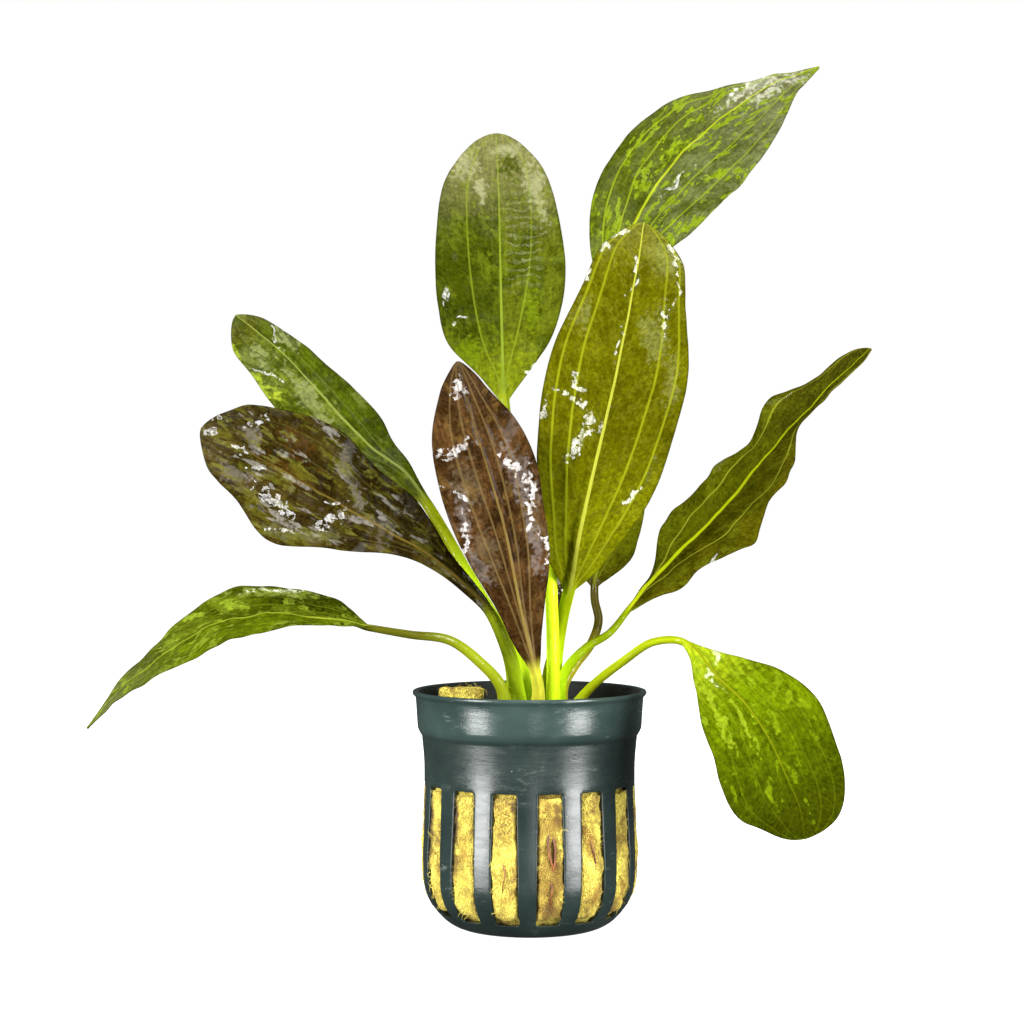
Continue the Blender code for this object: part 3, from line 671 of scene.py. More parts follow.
# Each root: its radius, and a line of (angle from +X in degrees, height, depth under the slot).
ROOTS = (
    (0.28, ((-80.2, 24, 0.9), (-80.9, 21.5, 0.25), (-80.6, 18.5, 0.1), (-78.8, 16, 0.2),
            (-77.6, 14.6, 0.9))),
    (0.26, ((-79, 22.6, 0.9), (-77.6, 20.6, 0.2), (-77.4, 18, 0.15), (-78.4, 15.4, 0.3),
            (-80, 14, 0.9))),
    (0.18, ((-80.6, 13.5, 0.8), (-79, 11.8, 0.2), (-79.8, 9, 0.3), (-78, 6.6, 0.8))),
    (0.16, ((-57.6, 22, 0.9), (-56.2, 19, 0.2), (-54.6, 15, 0.3), (-55.5, 12, 0.9))),
    (0.15, ((-104.6, 17, 0.9), (-103, 14.5, 0.2), (-104.2, 11, 0.3), (-102.4, 8.5, 0.9))),
)


def unit(vectors):
    """The same directions, one long."""
    return vectors / np.linalg.norm(vectors, axis=-1, keepdims=True)


def tube(bm, line, radii, sides):
    """A round closed tube along a line of points, one ring after the other."""
    line = np.asarray(line, float)
    ahead = unit(np.gradient(line, axis=0))
    ring = bmesh.ops.create_circle(bm, cap_ends=False, segments=sides, radius=1.0)["verts"]
    turns = [math.atan2(vert.co.y, vert.co.x) for vert in ring]
    first_edges = list({edge for vert in ring for edge in vert.link_edges})
    edges = first_edges
    aside = np.cross(ahead[0], (0.3, 0.2, 1.0))
    for step, point in enumerate(line):
        if step:
            grown = bmesh.ops.extrude_edge_only(bm, edges=edges)["geom"]
            ring = [item for item in grown if isinstance(item, bmesh.types.BMVert)]
            edges = [item for item in grown if isinstance(item, bmesh.types.BMEdge)
                     and all(vert in ring for vert in item.verts)]
        aside = unit(aside - ahead[step] * np.dot(aside, ahead[step]))
        other = np.cross(ahead[step], aside)
        for vert, turn in zip(ring, turns):
            outward = aside * math.cos(turn) + other * math.sin(turn)
            vert.co = Vector(point + radii[step] * outward)
        if step == 0:
            bmesh.ops.edgeloop_fill(bm, edges=first_edges)
    bmesh.ops.edgeloop_fill(bm, edges=edges)


bm = bmesh.new()
for thickness, route in ROOTS:
    points = []
    for angle, height, depth in route:
        radius = pad_radius(height) + ROOT_LIFT - depth
        turn = math.radians(angle)
        points.append((radius * math.cos(turn), radius * math.sin(turn), height))
    radii = [thickness * (1 - ROOT_TAPER * step / ROOT_STEPS) for step in range(ROOT_STEPS + 1)]
    tube(bm, bend(points, ROOT_STEPS), radii, ROOT_SIDES)
bmesh.ops.recalc_face_normals(bm, faces=bm.faces)
root_finish, node, shader = material("root_bark", 0.45)
place = node("TexCoord", out="Object")
streak = node("TexNoise", place, Scale=ROOT_STREAKS, Detail=4)
tone = node("ValToRGB", streak, stops=((0.4, ROOT_HEX), (0.7, ROOT_PALE_HEX)))
feed(shader, {"Base Color": tone})
roots = piece("roots", bm, root_finish)

# ---------------------------------------------------------------- crown
# The short root stock that every stalk grows from: a low knob of pale firm plant tissue, ringed
# by the scars of older leaves and browned where it meets the wool.
CROWN_CENTRE = (2.3, 0.6)
CROWN_HALF_WIDTH = 9.5
CROWN_HALF_DEPTH = 8.0
CROWN_FOOT = 43.3
CROWN_TOP = 46.0
CROWN_LIFT = 0.15
SCAR_HEIGHT = 0.035
CROWN_HEX = "636728"
CROWN_BROWN_HEX = "3E2D12"
CROWN_PATCHES = 330.0
# Heights in metres between which the brown by the wool gives way to clean tissue.
BROWNED = (0.0462, 0.0442)

bm = bmesh.new()
bmesh.ops.create_uvsphere(bm, u_segments=72, v_segments=36, radius=1.0)
for vert in bm.verts:
    radius = vert.co.xy.length
    turn = math.atan2(vert.co.y, vert.co.x)
    scar = SCAR_HEIGHT * math.sin(radius * 34 + 0.8 * math.sin(turn * 5))
    vert.co.z = math.copysign(abs(vert.co.z) ** 0.55, vert.co.z) + (scar if vert.co.z > 0 else 0)
    lump = 1 + 0.05 * noise.noise(Vector((math.cos(turn) * 2.2, math.sin(turn) * 2.2, 4.0)))
    vert.co.x *= lump * CROWN_HALF_WIDTH
    vert.co.y *= lump * CROWN_HALF_DEPTH
    vert.co.z = CROWN_FOOT + (CROWN_TOP - CROWN_FOOT) * (0.5 + 0.5 * vert.co.z)
bmesh.ops.translate(bm, vec=(*CROWN_CENTRE, CROWN_LIFT), verts=bm.verts)
bmesh.ops.recalc_face_normals(bm, faces=bm.faces)

crown_finish, node, shader = material("crown_tissue", 0.45)
place = node("TexCoord", out="Object")
patch = node("TexNoise", place, Scale=CROWN_PATCHES, Detail=5, Roughness=0.65)
height = node("SeparateXYZ", place, out="Z")
low = node("MapRange", height, *BROWNED, -0.15, 0.3)
brown = node("Math", patch, low)
colour = node("ValToRGB", brown, stops=((0.45, CROWN_HEX), (0.62, CROWN_BROWN_HEX)))
rough = node("Bump", Height=patch, Strength=0.5, Distance=0.4 * MM)
feed(shader, {"Base Color": colour, "Normal": rough})
crown = piece("crown_knob", bm, crown_finish)
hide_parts("crown")

# ---------------------------------------------------------------- leaves
# Eleven leaves of one sword plant: a round stalk that spreads into a thin blade with a raised
# midrib and long side veins that run together at the foot and at the tip.
ROOT_SINK = 0.6
FOOT_FLARE = 1.25
FLARE_REACH = 4.0
LAMINA = 0.42
FOLD_SOFTNESS = 0.15
FOLD_ONSET = 8.0
FULL_RUFFLE_WIDTH = 8.0
FLATTENING = 3.0
RIB_TAPER = 0.75
RIB_SUNK_IN_FRONT = 0.9
TIP_HALF_WIDTH = 0.12
TANGENT_REACH = 0.3
SKIN_STEPS = 80
STALK_STEPS = 34
BLADE_STEPS = 136
TIP_CROWDING = 1.2
WIDTH_STATIONS = (0, 0.08, 0.2, 0.35, 0.5, 0.65, 0.8, 0.92, 1)
# Bumps as height and wavelength, and side veins as height and half width.
WIDE_SWELL = (0.35, 13.0)
SMALL_SWELL = (0.10, 4.5)
SIDE_VEIN = (0.14, 0.45)


def ease(value):
    """From 0 to 1 with a soft start and end."""
    value = np.clip(value, 0.0, 1.0)
    return value * value * (3 - 2 * value)


def swell(x, y, size, seed):
    """A gentle irregular surface with bumps of about this height and wavelength."""
    height, wavelength = size
    draw = np.random.default_rng(seed)
    total = np.zeros(np.broadcast(x, y).shape)
    waves = 7
    for _ in range(waves):
        turn = draw.uniform(0, math.tau)
        pitch = math.tau / (wavelength * draw.uniform(0.7, 1.5))
        total = total + np.sin(pitch * (x * math.cos(turn) + y * math.sin(turn))
                               + draw.uniform(0, math.tau))
    return height * total / math.sqrt(waves)


def leaf_stations(spine, blade_from, stalk, facing, left, right, rounding, stations):
    """Place, directions, blade share, length and half widths at every row of a leaf."""
    spine = np.asarray(spine, float)
    spine[0, 2] -= ROOT_SINK
    reach = np.concatenate(([0.0], np.cumsum(np.linalg.norm(np.diff(spine, axis=0), axis=1))))
    foot = reach[blade_from]
    length = reach[-1]
    rows = np.arange(BLADE_STEPS + 1)
    at = np.concatenate((np.linspace(0, foot, STALK_STEPS, endpoint=False),
                         foot + (length - foot)
                         * np.sin(math.pi / 2 * rows / BLADE_STEPS) ** TIP_CROWDING))
    centre = flow(reach, spine, at)
    ahead = unit(flow(reach, spine, np.minimum(at + TANGENT_REACH, length))
                 - flow(reach, spine, np.maximum(at - TANGENT_REACH, 0.0)))
    share = (at - foot) / (length - foot)
    blade = np.maximum(share, 0.0)
    up = flow((0.0, 0.5, 1.0), np.broadcast_to(facing, (3, 3)), blade)
    up = unit(up - ahead * np.sum(up * ahead, axis=1, keepdims=True))
    across = np.cross(ahead, up)
    past = np.maximum(share - rounding, 0) / max(1 - rounding, 1e-6)
    close = np.sqrt(np.clip(1 - past ** 2, 0, 1))
    on_stalk = stalk[0] + (stalk[1] - stalk[0]) * np.minimum(at / foot, 1.0)
    on_stalk = on_stalk * (1 + (FOOT_FLARE - 1) * np.exp(-(at / FLARE_REACH) ** 2))
    halves = [np.where(share <= 0, on_stalk,
                       np.maximum(flow(stations, half, blade) * close, TIP_HALF_WIDTH))
              for half in (left, right)]
    return centre, across, up, blade, at - foot, *halves


def leaf_mesh(seed, veins, spine, blade_from, stalk, facing, left, right, rounding=0.9,
              stations=WIDTH_STATIONS, fold=6, ruffle=0, waves=2, phase=(0, 0.5)):
    """The leaf's closed skin, with each point's place on the leaf kept for its finish."""
    centre, across, up, blade, along, left, right = leaf_stations(
        spine, blade_from, stalk, facing, left, right, rounding, stations)
    even = np.linspace(-1, 1, SKIN_STEPS + 1)
    over = (even + np.sin(even * math.pi / 2)) / 2
    u = np.concatenate((over, over[-2::-1]))[None, :]
    skin = np.concatenate((np.ones(SKIN_STEPS + 1), -np.ones(SKIN_STEPS)))[None, :]
    width = np.where(u < 0, left[:, None], right[:, None])
    x = u * width
    v = blade[:, None]
    y = along[:, None]
    mean = (left + right)[:, None] / 2
    flat = ease((mean - stalk[1]) / (FLATTENING * stalk[1])) * (v > 0)
    rib_radius = np.where(v > 0, stalk[1] * (1 - RIB_TAPER * v), mean)
    rib = np.sqrt(np.clip(rib_radius ** 2 - x * x, 0, None))
    rib = rib * np.where(skin > 0, 1 - RIB_SUNK_IN_FRONT * flat, 1)
    thin = LAMINA / 2 * np.clip(1 - u * u, 0, 1) ** 0.4
    half = np.where(np.abs(u) >= 1, 0, np.sqrt(rib ** 2 + thin ** 2))
    spread = np.clip(v * FOLD_ONSET, 0, 1)
    folded = math.sin(math.radians(fold)) * (np.hypot(u, FOLD_SOFTNESS) - FOLD_SOFTNESS)
    wave = np.sin(math.tau * (waves * v + np.where(u < 0, *phase))) * np.sin(math.pi * v) ** 0.5
    full = np.minimum(1, width / FULL_RUFFLE_WIDTH)
    lift = spread * (width * folded + ruffle * full * u * u * wave)
    lift = lift + flat * swell(x, y, WIDE_SWELL, seed) + flat * swell(x, y, SMALL_SWELL, seed + 100)
    vein_height, vein_half = SIDE_VEIN
    relief = 0
    for side, reach, bend_in in veins:
        toward = np.abs(u) if side == 0 else u * side
        off = toward - reach * np.maximum(v, 1e-6) ** bend_in
        relief = relief + np.exp(-(off * width / vein_half) ** 2)
    relief = relief * flat * full ** 2
    half = half - skin * vein_height * relief * (np.abs(u) < 1)
    point = (centre[:, None, :] + across[:, None, :] * x[:, :, None]
             + up[:, None, :] * (skin * half + lift)[:, :, None])
    bm = bmesh.new()
    bmesh.ops.create_grid(bm, x_segments=2 * SKIN_STEPS, y_segments=len(blade) - 1, size=1.0)
    place = bm.verts.layers.float_vector.new("place")
    share = bm.verts.layers.float_vector.new("share")
    placed = np.stack(np.broadcast_arrays(x, y, skin), axis=2)
    shared = np.stack(np.broadcast_arrays(u, v, width), axis=2)
    for index, vert in enumerate(bm.verts):
        row, column = divmod(index, 2 * SKIN_STEPS + 1)
        vert.co = point[row, column]
        vert[place] = placed[row, column]
        vert[share] = shared[row, column]
    bmesh.ops.remove_doubles(bm, verts=bm.verts, dist=1e-5)
    bmesh.ops.holes_fill(bm, edges=[edge for edge in bm.edges if edge.is_boundary], sides=0)
    bmesh.ops.recalc_face_normals(bm, faces=bm.faces)
    return bm


PATCH_INNER = 0.45
GLINT_INNER = 0.2
GLINT_SWAY = 0.22
GLINT_FACING = (-0.45, -0.89, 0.0)
GLINT_TORN = (0.34, 0.56)
GLINT_FRONTING = (0.05, 0.2)
BEND_SIZE = 5.0
BEND_REACH = 6.0
STALK_COAT = 0.4
STALK_BEADS = (0.5, 0.62)
FILM_RELIEF = 0.05
RUNG_HEIGHT = 0.25
MOTTLE_SIZE = 5.0
GRAIN_SIZE = 0.8
NET_CELL = 0.9
NET_SLANT = 0.9
NET_LINE = 0.18
NET_DEPTH = 0.012
EDGE_SHADE = 0.7
BLADE_START = (3.0, -2.0)
STALK_LOW = (-10.0, -22.0)


def leaf_skin(name, seed, veins, base, deep, stalk, rib, rib_half=0.55, rib_fade=0.3, vein=None,
              vein_half=0.3, vein_show=0.8, right=None, tip=None, tip_from=0.6, foot=None,
              foot_to=0.15, flecks=(), fleck_size=1.6, fleck_long=0.8, fleck_edge=0.06,
              fleck_fade=0, streaks=0.25, net=None, net_show=0.1, patches=(), glints=(),
              ladder=None, stalk_low_lime_and_light=None, roughness=0.5, coat=0.1, crease=0.03, crinkle=0.03):
    """Living leaf skin, waxy under a film of water, painted by each point's place on the leaf.

    Two tones lie in soft patches, with flecks, bruises, the net of veins and the glints over them.
    On some leaves patches and flecks are painted sheen and painted highlights.
    Sizes are in mm.
    """
    made, node, shader = material(name, roughness, {
        "IOR": 1.45, "Specular IOR Level": 0.0, "Coat Roughness": 0.16, "Coat IOR": 1.5})
    place = node("Attribute", attribute_name="place", out="Vector")
    share = node("Attribute", attribute_name="share", out="Vector")
    across, along, _ = node("SeparateXYZ", place).node.outputs
    u, v, width = node("SeparateXYZ", share).node.outputs
    from_rib = node("Math ABSOLUTE", across)
    side = node("Math SIGN", across)
    own = node("VectorMath", place, (0, 0, 10 * seed))
    mottle = node("TexNoise", own, Scale=1 / MOTTLE_SIZE, Detail=6, Roughness=0.7)
    grain = node("TexNoise", own, Scale=1 / GRAIN_SIZE, Detail=3, Roughness=0.7)
    loose = node("TexNoise", own, Scale=0.9, Detail=2.5)
    fray = node("MapRange", loose, 0.32, 0.68, -0.5, 0.5)
    bent = node("TexNoise", own, Scale=1 / BEND_SIZE, Detail=1, out="Color")
    bent = node("VectorMath MULTIPLY_ADD", bent, (BEND_REACH,) * 3, (-BEND_REACH / 2,) * 3)
    bent = node("VectorMath", place, bent)

    # ground: two tones in soft edged patches, streaked along the blade
    depth = node("MapRange", mottle, 0.44, 0.58)
    ground = node("Mix RGBA", depth, base, deep)
    if right:
        other = node("Mix RGBA", depth, right[0], right[1])
        half = node("MapRange SMOOTHSTEP", u, -0.08, 0.08)
        ground = node("Mix RGBA", half, ground, other)
    loose_v = node("Math MULTIPLY_ADD", fray, 0.12, v)
    for colour, full, none in ((tip, 1, tip_from), (foot, 0, foot_to)):
        if colour:
            end = node("MapRange SMOOTHSTEP", loose_v, none, full)
            ground = node("Mix RGBA", end, ground, colour)
    drawn_out = node("Mapping", own, Scale=(1, 0.1, 1))
    streak = node("TexNoise", drawn_out, Scale=1.1, Detail=4, Roughness=0.65)
    shade = node("MapRange", streak, 0.35, 0.65, 1 - streaks, 1 + streaks)
    ground = node("VectorMath MULTIPLY", ground, shade)
    # on some leaves these patches are painted sheen and painted highlights
    ground = patched(node, ground, patches, bent, fray, PATCH_INNER)

    # the cells between the cross veins lean toward the tip, and whole cells are paler or not
    lean = node("Math MULTIPLY_ADD", from_rib, -NET_SLANT, along)
    layer = node("Math MULTIPLY_ADD", side, 7, seed * 3)
    leaning = node("CombineXYZ", from_rib, lean, layer)
    # on one leaf the palest flecks are painted highlight specks
    for turn, (colour, show, amount) in enumerate(flecks):
        blown = node("Mapping", leaning, Location=(9 * turn, 0, 0),
                     Scale=(1 / fleck_size, fleck_long / fleck_size, 1))
        cell = node("TexVoronoi", blown, Scale=1, out="Color")
        pick = node("SeparateColor", cell)
        cloud = node("TexNoise", blown, Scale=0.3, Detail=2)
        bias = node("MapRange", cloud, 0.38, 0.62, -0.4, 0.4)
        picked = node("Math", pick, bias)
        worn = node("Math MULTIPLY_ADD", fray, 0.35, picked)
        worn = node("Math MULTIPLY_ADD", v, -fleck_fade, worn)
        mask = node("MapRange", worn, 1 - amount, 1 + fleck_edge - amount, 0, show)
        ground = node("Mix RGBA", mask, ground, colour)

    # fine net of the smallest veins
    net_place = node("VectorMath MULTIPLY", leaning, (0.6 / NET_CELL, 1.2 / NET_CELL, 1))
    cells = node("TexVoronoi", net_place, Scale=1, feature="DISTANCE_TO_EDGE")
    web = node("MapRange", cells, NET_LINE, 0.02)
    web_show = node("Math MULTIPLY", web, net_show)
    ground = node("Mix RGBA", web_show, ground, net or vein or rib)
    lit = node("MapRange", grain, 0.3, 0.7, 0.68, 1.3)
    ground = node("VectorMath MULTIPLY", ground, lit)

    # long side veins and the midrib, paler and a little raised
    raised = 0.0
    for vein_side, reach, bend_in in veins:
        toward = node("Math MULTIPLY", u, vein_side) if vein_side else node("Math ABSOLUTE", u)
        course = node("Math POWER", v, bend_in)
        off = node("Math MULTIPLY_ADD", course, -reach, toward)
        off = node("Math ABSOLUTE", off)
        gap = node("Math MULTIPLY", off, width)
        line = node("MapRange SMOOTHSTEP", gap, vein_half, 0.3 * vein_half)
        raised = node("Math MAXIMUM", line, raised)
    if veins:
        fade = node("MapRange", v, 0, 1, vein_show, 0.5 * vein_show)
        mask = node("Math MULTIPLY", raised, fade)
        ground = node("Mix RGBA", mask, ground, vein or rib)
    thick = node("MapRange", v, 0, 1, rib_half, 0.3 * rib_half)
    rib_gap = node("Math DIVIDE", from_rib, thick)
    midrib = node("MapRange SMOOTHSTEP", rib_gap, 1.15, 0.6)
    fade = node("MapRange", v, 0.2, 1, 1, 1 - rib_fade)
    midrib = node("Math MULTIPLY", midrib, fade)
    ground = node("Mix RGBA", midrib, ground, rib)

    # thin darker edge, then the round stalk below the blade
    to_edge = node("Math ABSOLUTE", u)
    inner = node("Math SUBTRACT", 1, to_edge)
    rim = node("Math MULTIPLY", inner, width)
    rim = node("MapRange", rim, 0.1, 0.5, EDGE_SHADE, 1)
    ground = node("VectorMath MULTIPLY", ground, rim)
    stem = node("MapRange", streak, 0.35, 0.65, 0.75, 1.2)
    stem = node("VectorMath MULTIPLY", stalk, stem)
    # toward the crown the stalks turn a brighter lime: partly their own colour, partly painted
    # light for light shining through them and against the shade there
    if stalk_low_lime_and_light:
        low = node("MapRange", along, *STALK_LOW)
        stem = node("Mix RGBA", low, stem, stalk_low_lime_and_light)
    on_stalk = node("MapRange SMOOTHSTEP", along, *BLADE_START)
    ground = node("Mix RGBA", on_stalk, ground, stem)

    # a ladder of raised wrinkles across one half, between the midrib and its side vein, with a
    # painted highlight along their tops
    rungs = 0.0
    if ladder:
        half_side, inner_u, outer_u, low_v, high_v, pitch, colour, show = ladder
        toward = node("Math MULTIPLY", u, half_side)
        ends = [node("MapRange", toward, inner_u, inner_u + 0.1),
                node("MapRange", toward, outer_u, outer_u - 0.15),
                node("MapRange", v, low_v, low_v + 0.12),
                node("MapRange", v, high_v, high_v - 0.12),
                node("MapRange", streak, 0.4, 0.55, 0.2, 1)]
        turns = node("Math MULTIPLY_ADD", mottle, 3 * pitch, along)
        turns = node("Math MULTIPLY", turns, math.tau / pitch)
        rungs = node("Math SINE", turns)
        for end in ends:
            rungs = node("Math MULTIPLY", rungs, end)
        mask = node("MapRange", rungs, 0, 1, 0, show)
        ground = node("Mix RGBA", mask, ground, colour)

    # relief: cross creases, the net and grain, and the ladder's rungs
    creased = node("Mapping", leaning, Scale=(0.12, 0.55, 1))
    wave = node("TexNoise", creased, Scale=1, Detail=3)
    height = node("Math MULTIPLY", wave, 4 * crease)
    height = node("Math MULTIPLY_ADD", web, -NET_DEPTH, height)
    pucker = node("TexNoise", own, Scale=0.7, Detail=4, Roughness=0.6)
    height = node("Math MULTIPLY_ADD", pucker, 4 * crinkle, height)
    height = node("Math MULTIPLY_ADD", rungs, RUNG_HEIGHT, height)
    relief = node("Bump", Height=height, Strength=1, Distance=MM)

    # the wet film is smoother than the skin, and shines where a crumple faces the light
    beaded = node("MapRange", pucker, *STALK_BEADS, 0, STALK_COAT)
    wet = node("Math MULTIPLY_ADD", on_stalk, beaded, coat)
    film = node("TexNoise", own, Scale=0.5, Detail=1)
    film = node("Math MULTIPLY", film, FILM_RELIEF)
    film = node("Bump", Height=film, Strength=1, Distance=MM)
    if glints:
        mask = inside(node, bent, glints, fray, GLINT_INNER)
        torn = node("Mapping", own, Scale=(1, 0.45, 1))
        torn = node("TexNoise", torn, Scale=1.5, Detail=6, Roughness=0.65)
        torn = node("MapRange", torn, *GLINT_TORN)
        true_normal = node("NewGeometry", out="True Normal")
        fronting = node("VectorMath DOT_PRODUCT", true_normal, GLINT_FACING)
        fronting = node("MapRange", fronting, *GLINT_FRONTING)
        mask = node("Math MULTIPLY", mask, fronting)
        shine = node("Math MULTIPLY", mask, torn)
        wet = node("Math MAXIMUM", shine, wet)
        film = node("Mix VECTOR", mask, film, GLINT_FACING)
        uneven = node("TexNoise", own, Scale=1, Detail=2, out="Color")
        uneven = node("VectorMath SUBTRACT", uneven, (0.5, 0.5, 0.5))
        sway = node("Math MULTIPLY", mask, GLINT_SWAY)
        film = node("VectorMath MULTIPLY_ADD", uneven, sway, film)
        film = node("VectorMath NORMALIZE", film)
    feed(shader, {"Base Color": ground, "Normal": relief, "Coat Weight": wet, "Coat Normal": film})
    return made


def leaf(name, slot, seed, veins, skin, **shape):
    """One leaf in place of its solid, veined alike in its finish and its mesh.

    A vein is its side of the midrib (0 for both), its share of the half width, and how early it
    bends in; widths are half widths at the stations from the blade's foot to its tip.
    """
    finish = leaf_skin(name.replace("leaf_", "") + "_skin", seed, veins, **skin)
    made = piece(name.replace("leaf_", "blade_"), leaf_mesh(seed, veins, **shape), finish)
    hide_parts(name)


# ---------------------------------------------------------------- low left leaf
# Blade held out low to the left, its far half lime green with long streaks, its near half
# greyer with lime flecks, dark olive toward the stalk and grey olive at the tip.
leaf("leaf_low_left", "lime_mottled_leaf", 1, ((0, 0.45, 0.3), (0, 0.78, 0.25)),
     dict(base="434F04", deep="333D02", right=("434D0B", "282E01"), tip="444628",
          tip_from=0.55, stalk="46460C", stalk_low_lime_and_light="737E12", rib="6E781E", rib_half=0.35,
          vein="55600D", vein_half=0.22, vein_show=0.55,
          flecks=(("5B691B", 0.7, 0.15), ("293001", 0.6, 0.2)), fleck_size=1.2, streaks=0.3,
          patches=(("161901", 0.9, ((6.4, 7, 9, 5, 88), (-2, 3, 4.5, 2.5, 90), (5, 16, 5, 3, 80))),
                   ("68791C", 0.8,
                    ((4.3, 27.6, 2.4, 1.3, 60), (6.6, 34.4, 2, 1.2, 60), (0.8, 32.4, 2.2, 1, 70),
                     (-2.2, 38.3, 1.8, 0.8, 80))),
                   # painted highlight: a pale band along the blade's raised top
                   ("6B7335", 0.75, ((9, 19, 8, 1.8, 92),))),
          glints=((9.2, 19, 6, 1, 92),), coat=0.03),
     spine=((-5, -3.8, 46.3), (-5.8, -4.3, 50.3), (-10.9, -7, 56.7), (-16.7, -10, 61.1),
            (-24.9, -13, 62.5), (-33, -15, 64), (-47, -17, 66.7), (-61.5, -19, 66),
            (-73.5, -21, 59.5), (-83.5, -22, 51.5), (-90, -22, 44)),
     blade_from=5, stalk=(1.3, 0.7),
     facing=((0, -0.42, 0.91), (-0.1, -0.42, 0.9), (-0.65, -0.42, 0.6)),
     left=(0.7, 2, 5.5, 10, 11, 9, 5.5, 2.5, 0.3), right=(0.7, 7, 10, 11.5, 9.5, 6, 3.5, 1.5, 0.3),
     rounding=1)

# ---------------------------------------------------------------- dark left leaf
# Long paddle of dark maroon brown over olive, the oldest leaf and the thickest skinned, with
# a pale olive midrib, painted grey sheen on its lower half and painted pale highlight specks.
leaf("leaf_dark_left", "dark_mottled_leaf", 2, ((0, 0.42, 0.4), (0, 0.75, 0.3)),
     dict(base="2D2407", deep="181102", right=("241D05", "130C01"), tip="2B2411",
          tip_from=0.85, stalk="606C0C", stalk_low_lime_and_light="A8C81A", rib="504319", rib_half=0.38,
          rib_fade=0.8, vein="47411B", vein_half=0.25, vein_show=0.3,
          flecks=(("42410C", 0.6, 0.3), ("110901", 0.6, 0.25), ("52501E", 0.5, 0.12),
                  # the last, pale grey flecks are painted highlight specks
                  ("75726B", 0.5, 0.025)),
          fleck_size=0.9, fleck_long=0.3, fleck_edge=0.3, streaks=0.45,
          patches=(("331E05", 0.6, ((0.5, 52, 6, 2.6, 80), (6, 52, 5, 2, 70))),
                   ("110901", 0.7, ((7.5, 28, 9, 3.2, 85), (3, 14, 5, 3, 85))),
                   # painted sheen: the grey patches here and the olive grey ones after them
                   ("5B564C", 0.5,
                    ((2.6, 61.5, 2.6, 1.8, 60), (7.6, 42.8, 4.2, 1.5, 39),
                     (2.6, 35.8, 5.4, 1.5, 62), (-6.2, 61.5, 5, 2.2, 85))),
                   ("505033", 0.5, ((-9.5, 41, 7, 1.7, 123), (-12.5, 48, 2.4, 1.4, 90)))),
          glints=((6.1, 62.4, 3.4, 1, -19), (-0.6, 62, 2.9, 0.5, 97), (-6.6, 50.5, 6, 2.2, 85),
                  (-11.4, 45.9, 4.5, 0.7, 119), (-4, 38.4, 5.2, 1.3, 146),
                  (0.1, 39.6, 3.4, 0.5, 92), (0, 70, 2.3, 1, 90), (4, 69.8, 1.7, 0.8, -45),
                  (-3, 58, 2, 0.9, 110)),
          crease=0.05, crinkle=0.06, coat=0.07),
     spine=((-2.8, -0.3, 46.3), (-3, -0.5, 50), (-4, -1.5, 56.5), (-5.6, -2.6, 61),
            (-8.8, -3.8, 67.2), (-13, -5, 71.6), (-23, -7, 80), (-36.5, -9, 87.5), (-49, -9.5, 95),
            (-60.5, -9.5, 101.5), (-68.8, -9, 105.5)),
     blade_from=4, stalk=(2, 1.1),
     facing=((0.1, -0.93, 0.33), (0.15, -0.93, 0.33), (0.15, -0.93, 0.33)),
     left=(1.1, 1.3, 2, 4.5, 10, 15, 11, 8, 4), right=(1.1, 2, 3.5, 8.5, 11.5, 13.5, 12, 9, 5),
     ruffle=1, waves=2.5)

# ---------------------------------------------------------------- upper left leaf
# Narrow blade behind the dark one, grass green with painted silvery sheen beside the midrib
# and a bright fold along its left margin, on a lime stalk.
leaf("leaf_upper_left", "grey_green_leaf", 3, ((0, 0.5, 0.4),),
     dict(base="48500D", deep="2D3502", right=("333E03", "222901"), tip="37370B", tip_from=0.8,
          stalk="808B0E", stalk_low_lime_and_light="A8C41A", rib="666F30", rib_half=0.4, vein="555D26",
          vein_half=0.25, vein_show=0.4, flecks=(("212901", 0.7, 0.25), ("5D632C", 0.4, 0.12)),
          fleck_size=1.4, fleck_long=0.5, fleck_edge=0.3, streaks=0.3,
          # painted sheen: the silvery grey band beside the midrib
          patches=(("63683D", 0.75,
                    ((-3, 34, 12, 1.8, 84), (-3.4, 51, 4, 1.6, 85), (3.4, 50, 3.5, 1.6, 80))),
                   ("212302", 0.7, ((-3, 14, 6, 2.2, 95), (-2.5, 57, 2.2, 2.6, 0))),
                   ("73801E", 0.85, ((-9.3, 47, 9, 1.1, 92), (-7.2, 56, 4, 1, 78)))),
          glints=((-6.4, 47, 6, 0.8, 98), (2, 52, 4, 0.8, 60)), crease=0.05, coat=0.06),
     spine=((0.1, 2.2, 46.3), (-0.1, 3, 50), (-1, 4, 53), (-3.1, 5.5, 57.1), (-7.4, 8, 64.5),
            (-13, 10, 73.8), (-22.9, 14, 90.3), (-27.4, 15.5, 96.5), (-34.9, 18, 102.1),
            (-43.4, 21, 110.7), (-53.8, 24, 122.1), (-66.3, 26, 132.4)),
     blade_from=6, stalk=(1.4, 1.2), facing=(0.12, -0.9, 0.36),
     left=(1.2, 3, 5.5, 8, 10, 10.5, 9, 7, 4), right=(1.2, 1.5, 3.5, 6.5, 6.5, 5.5, 4.5, 3.5, 2),
     fold=8)
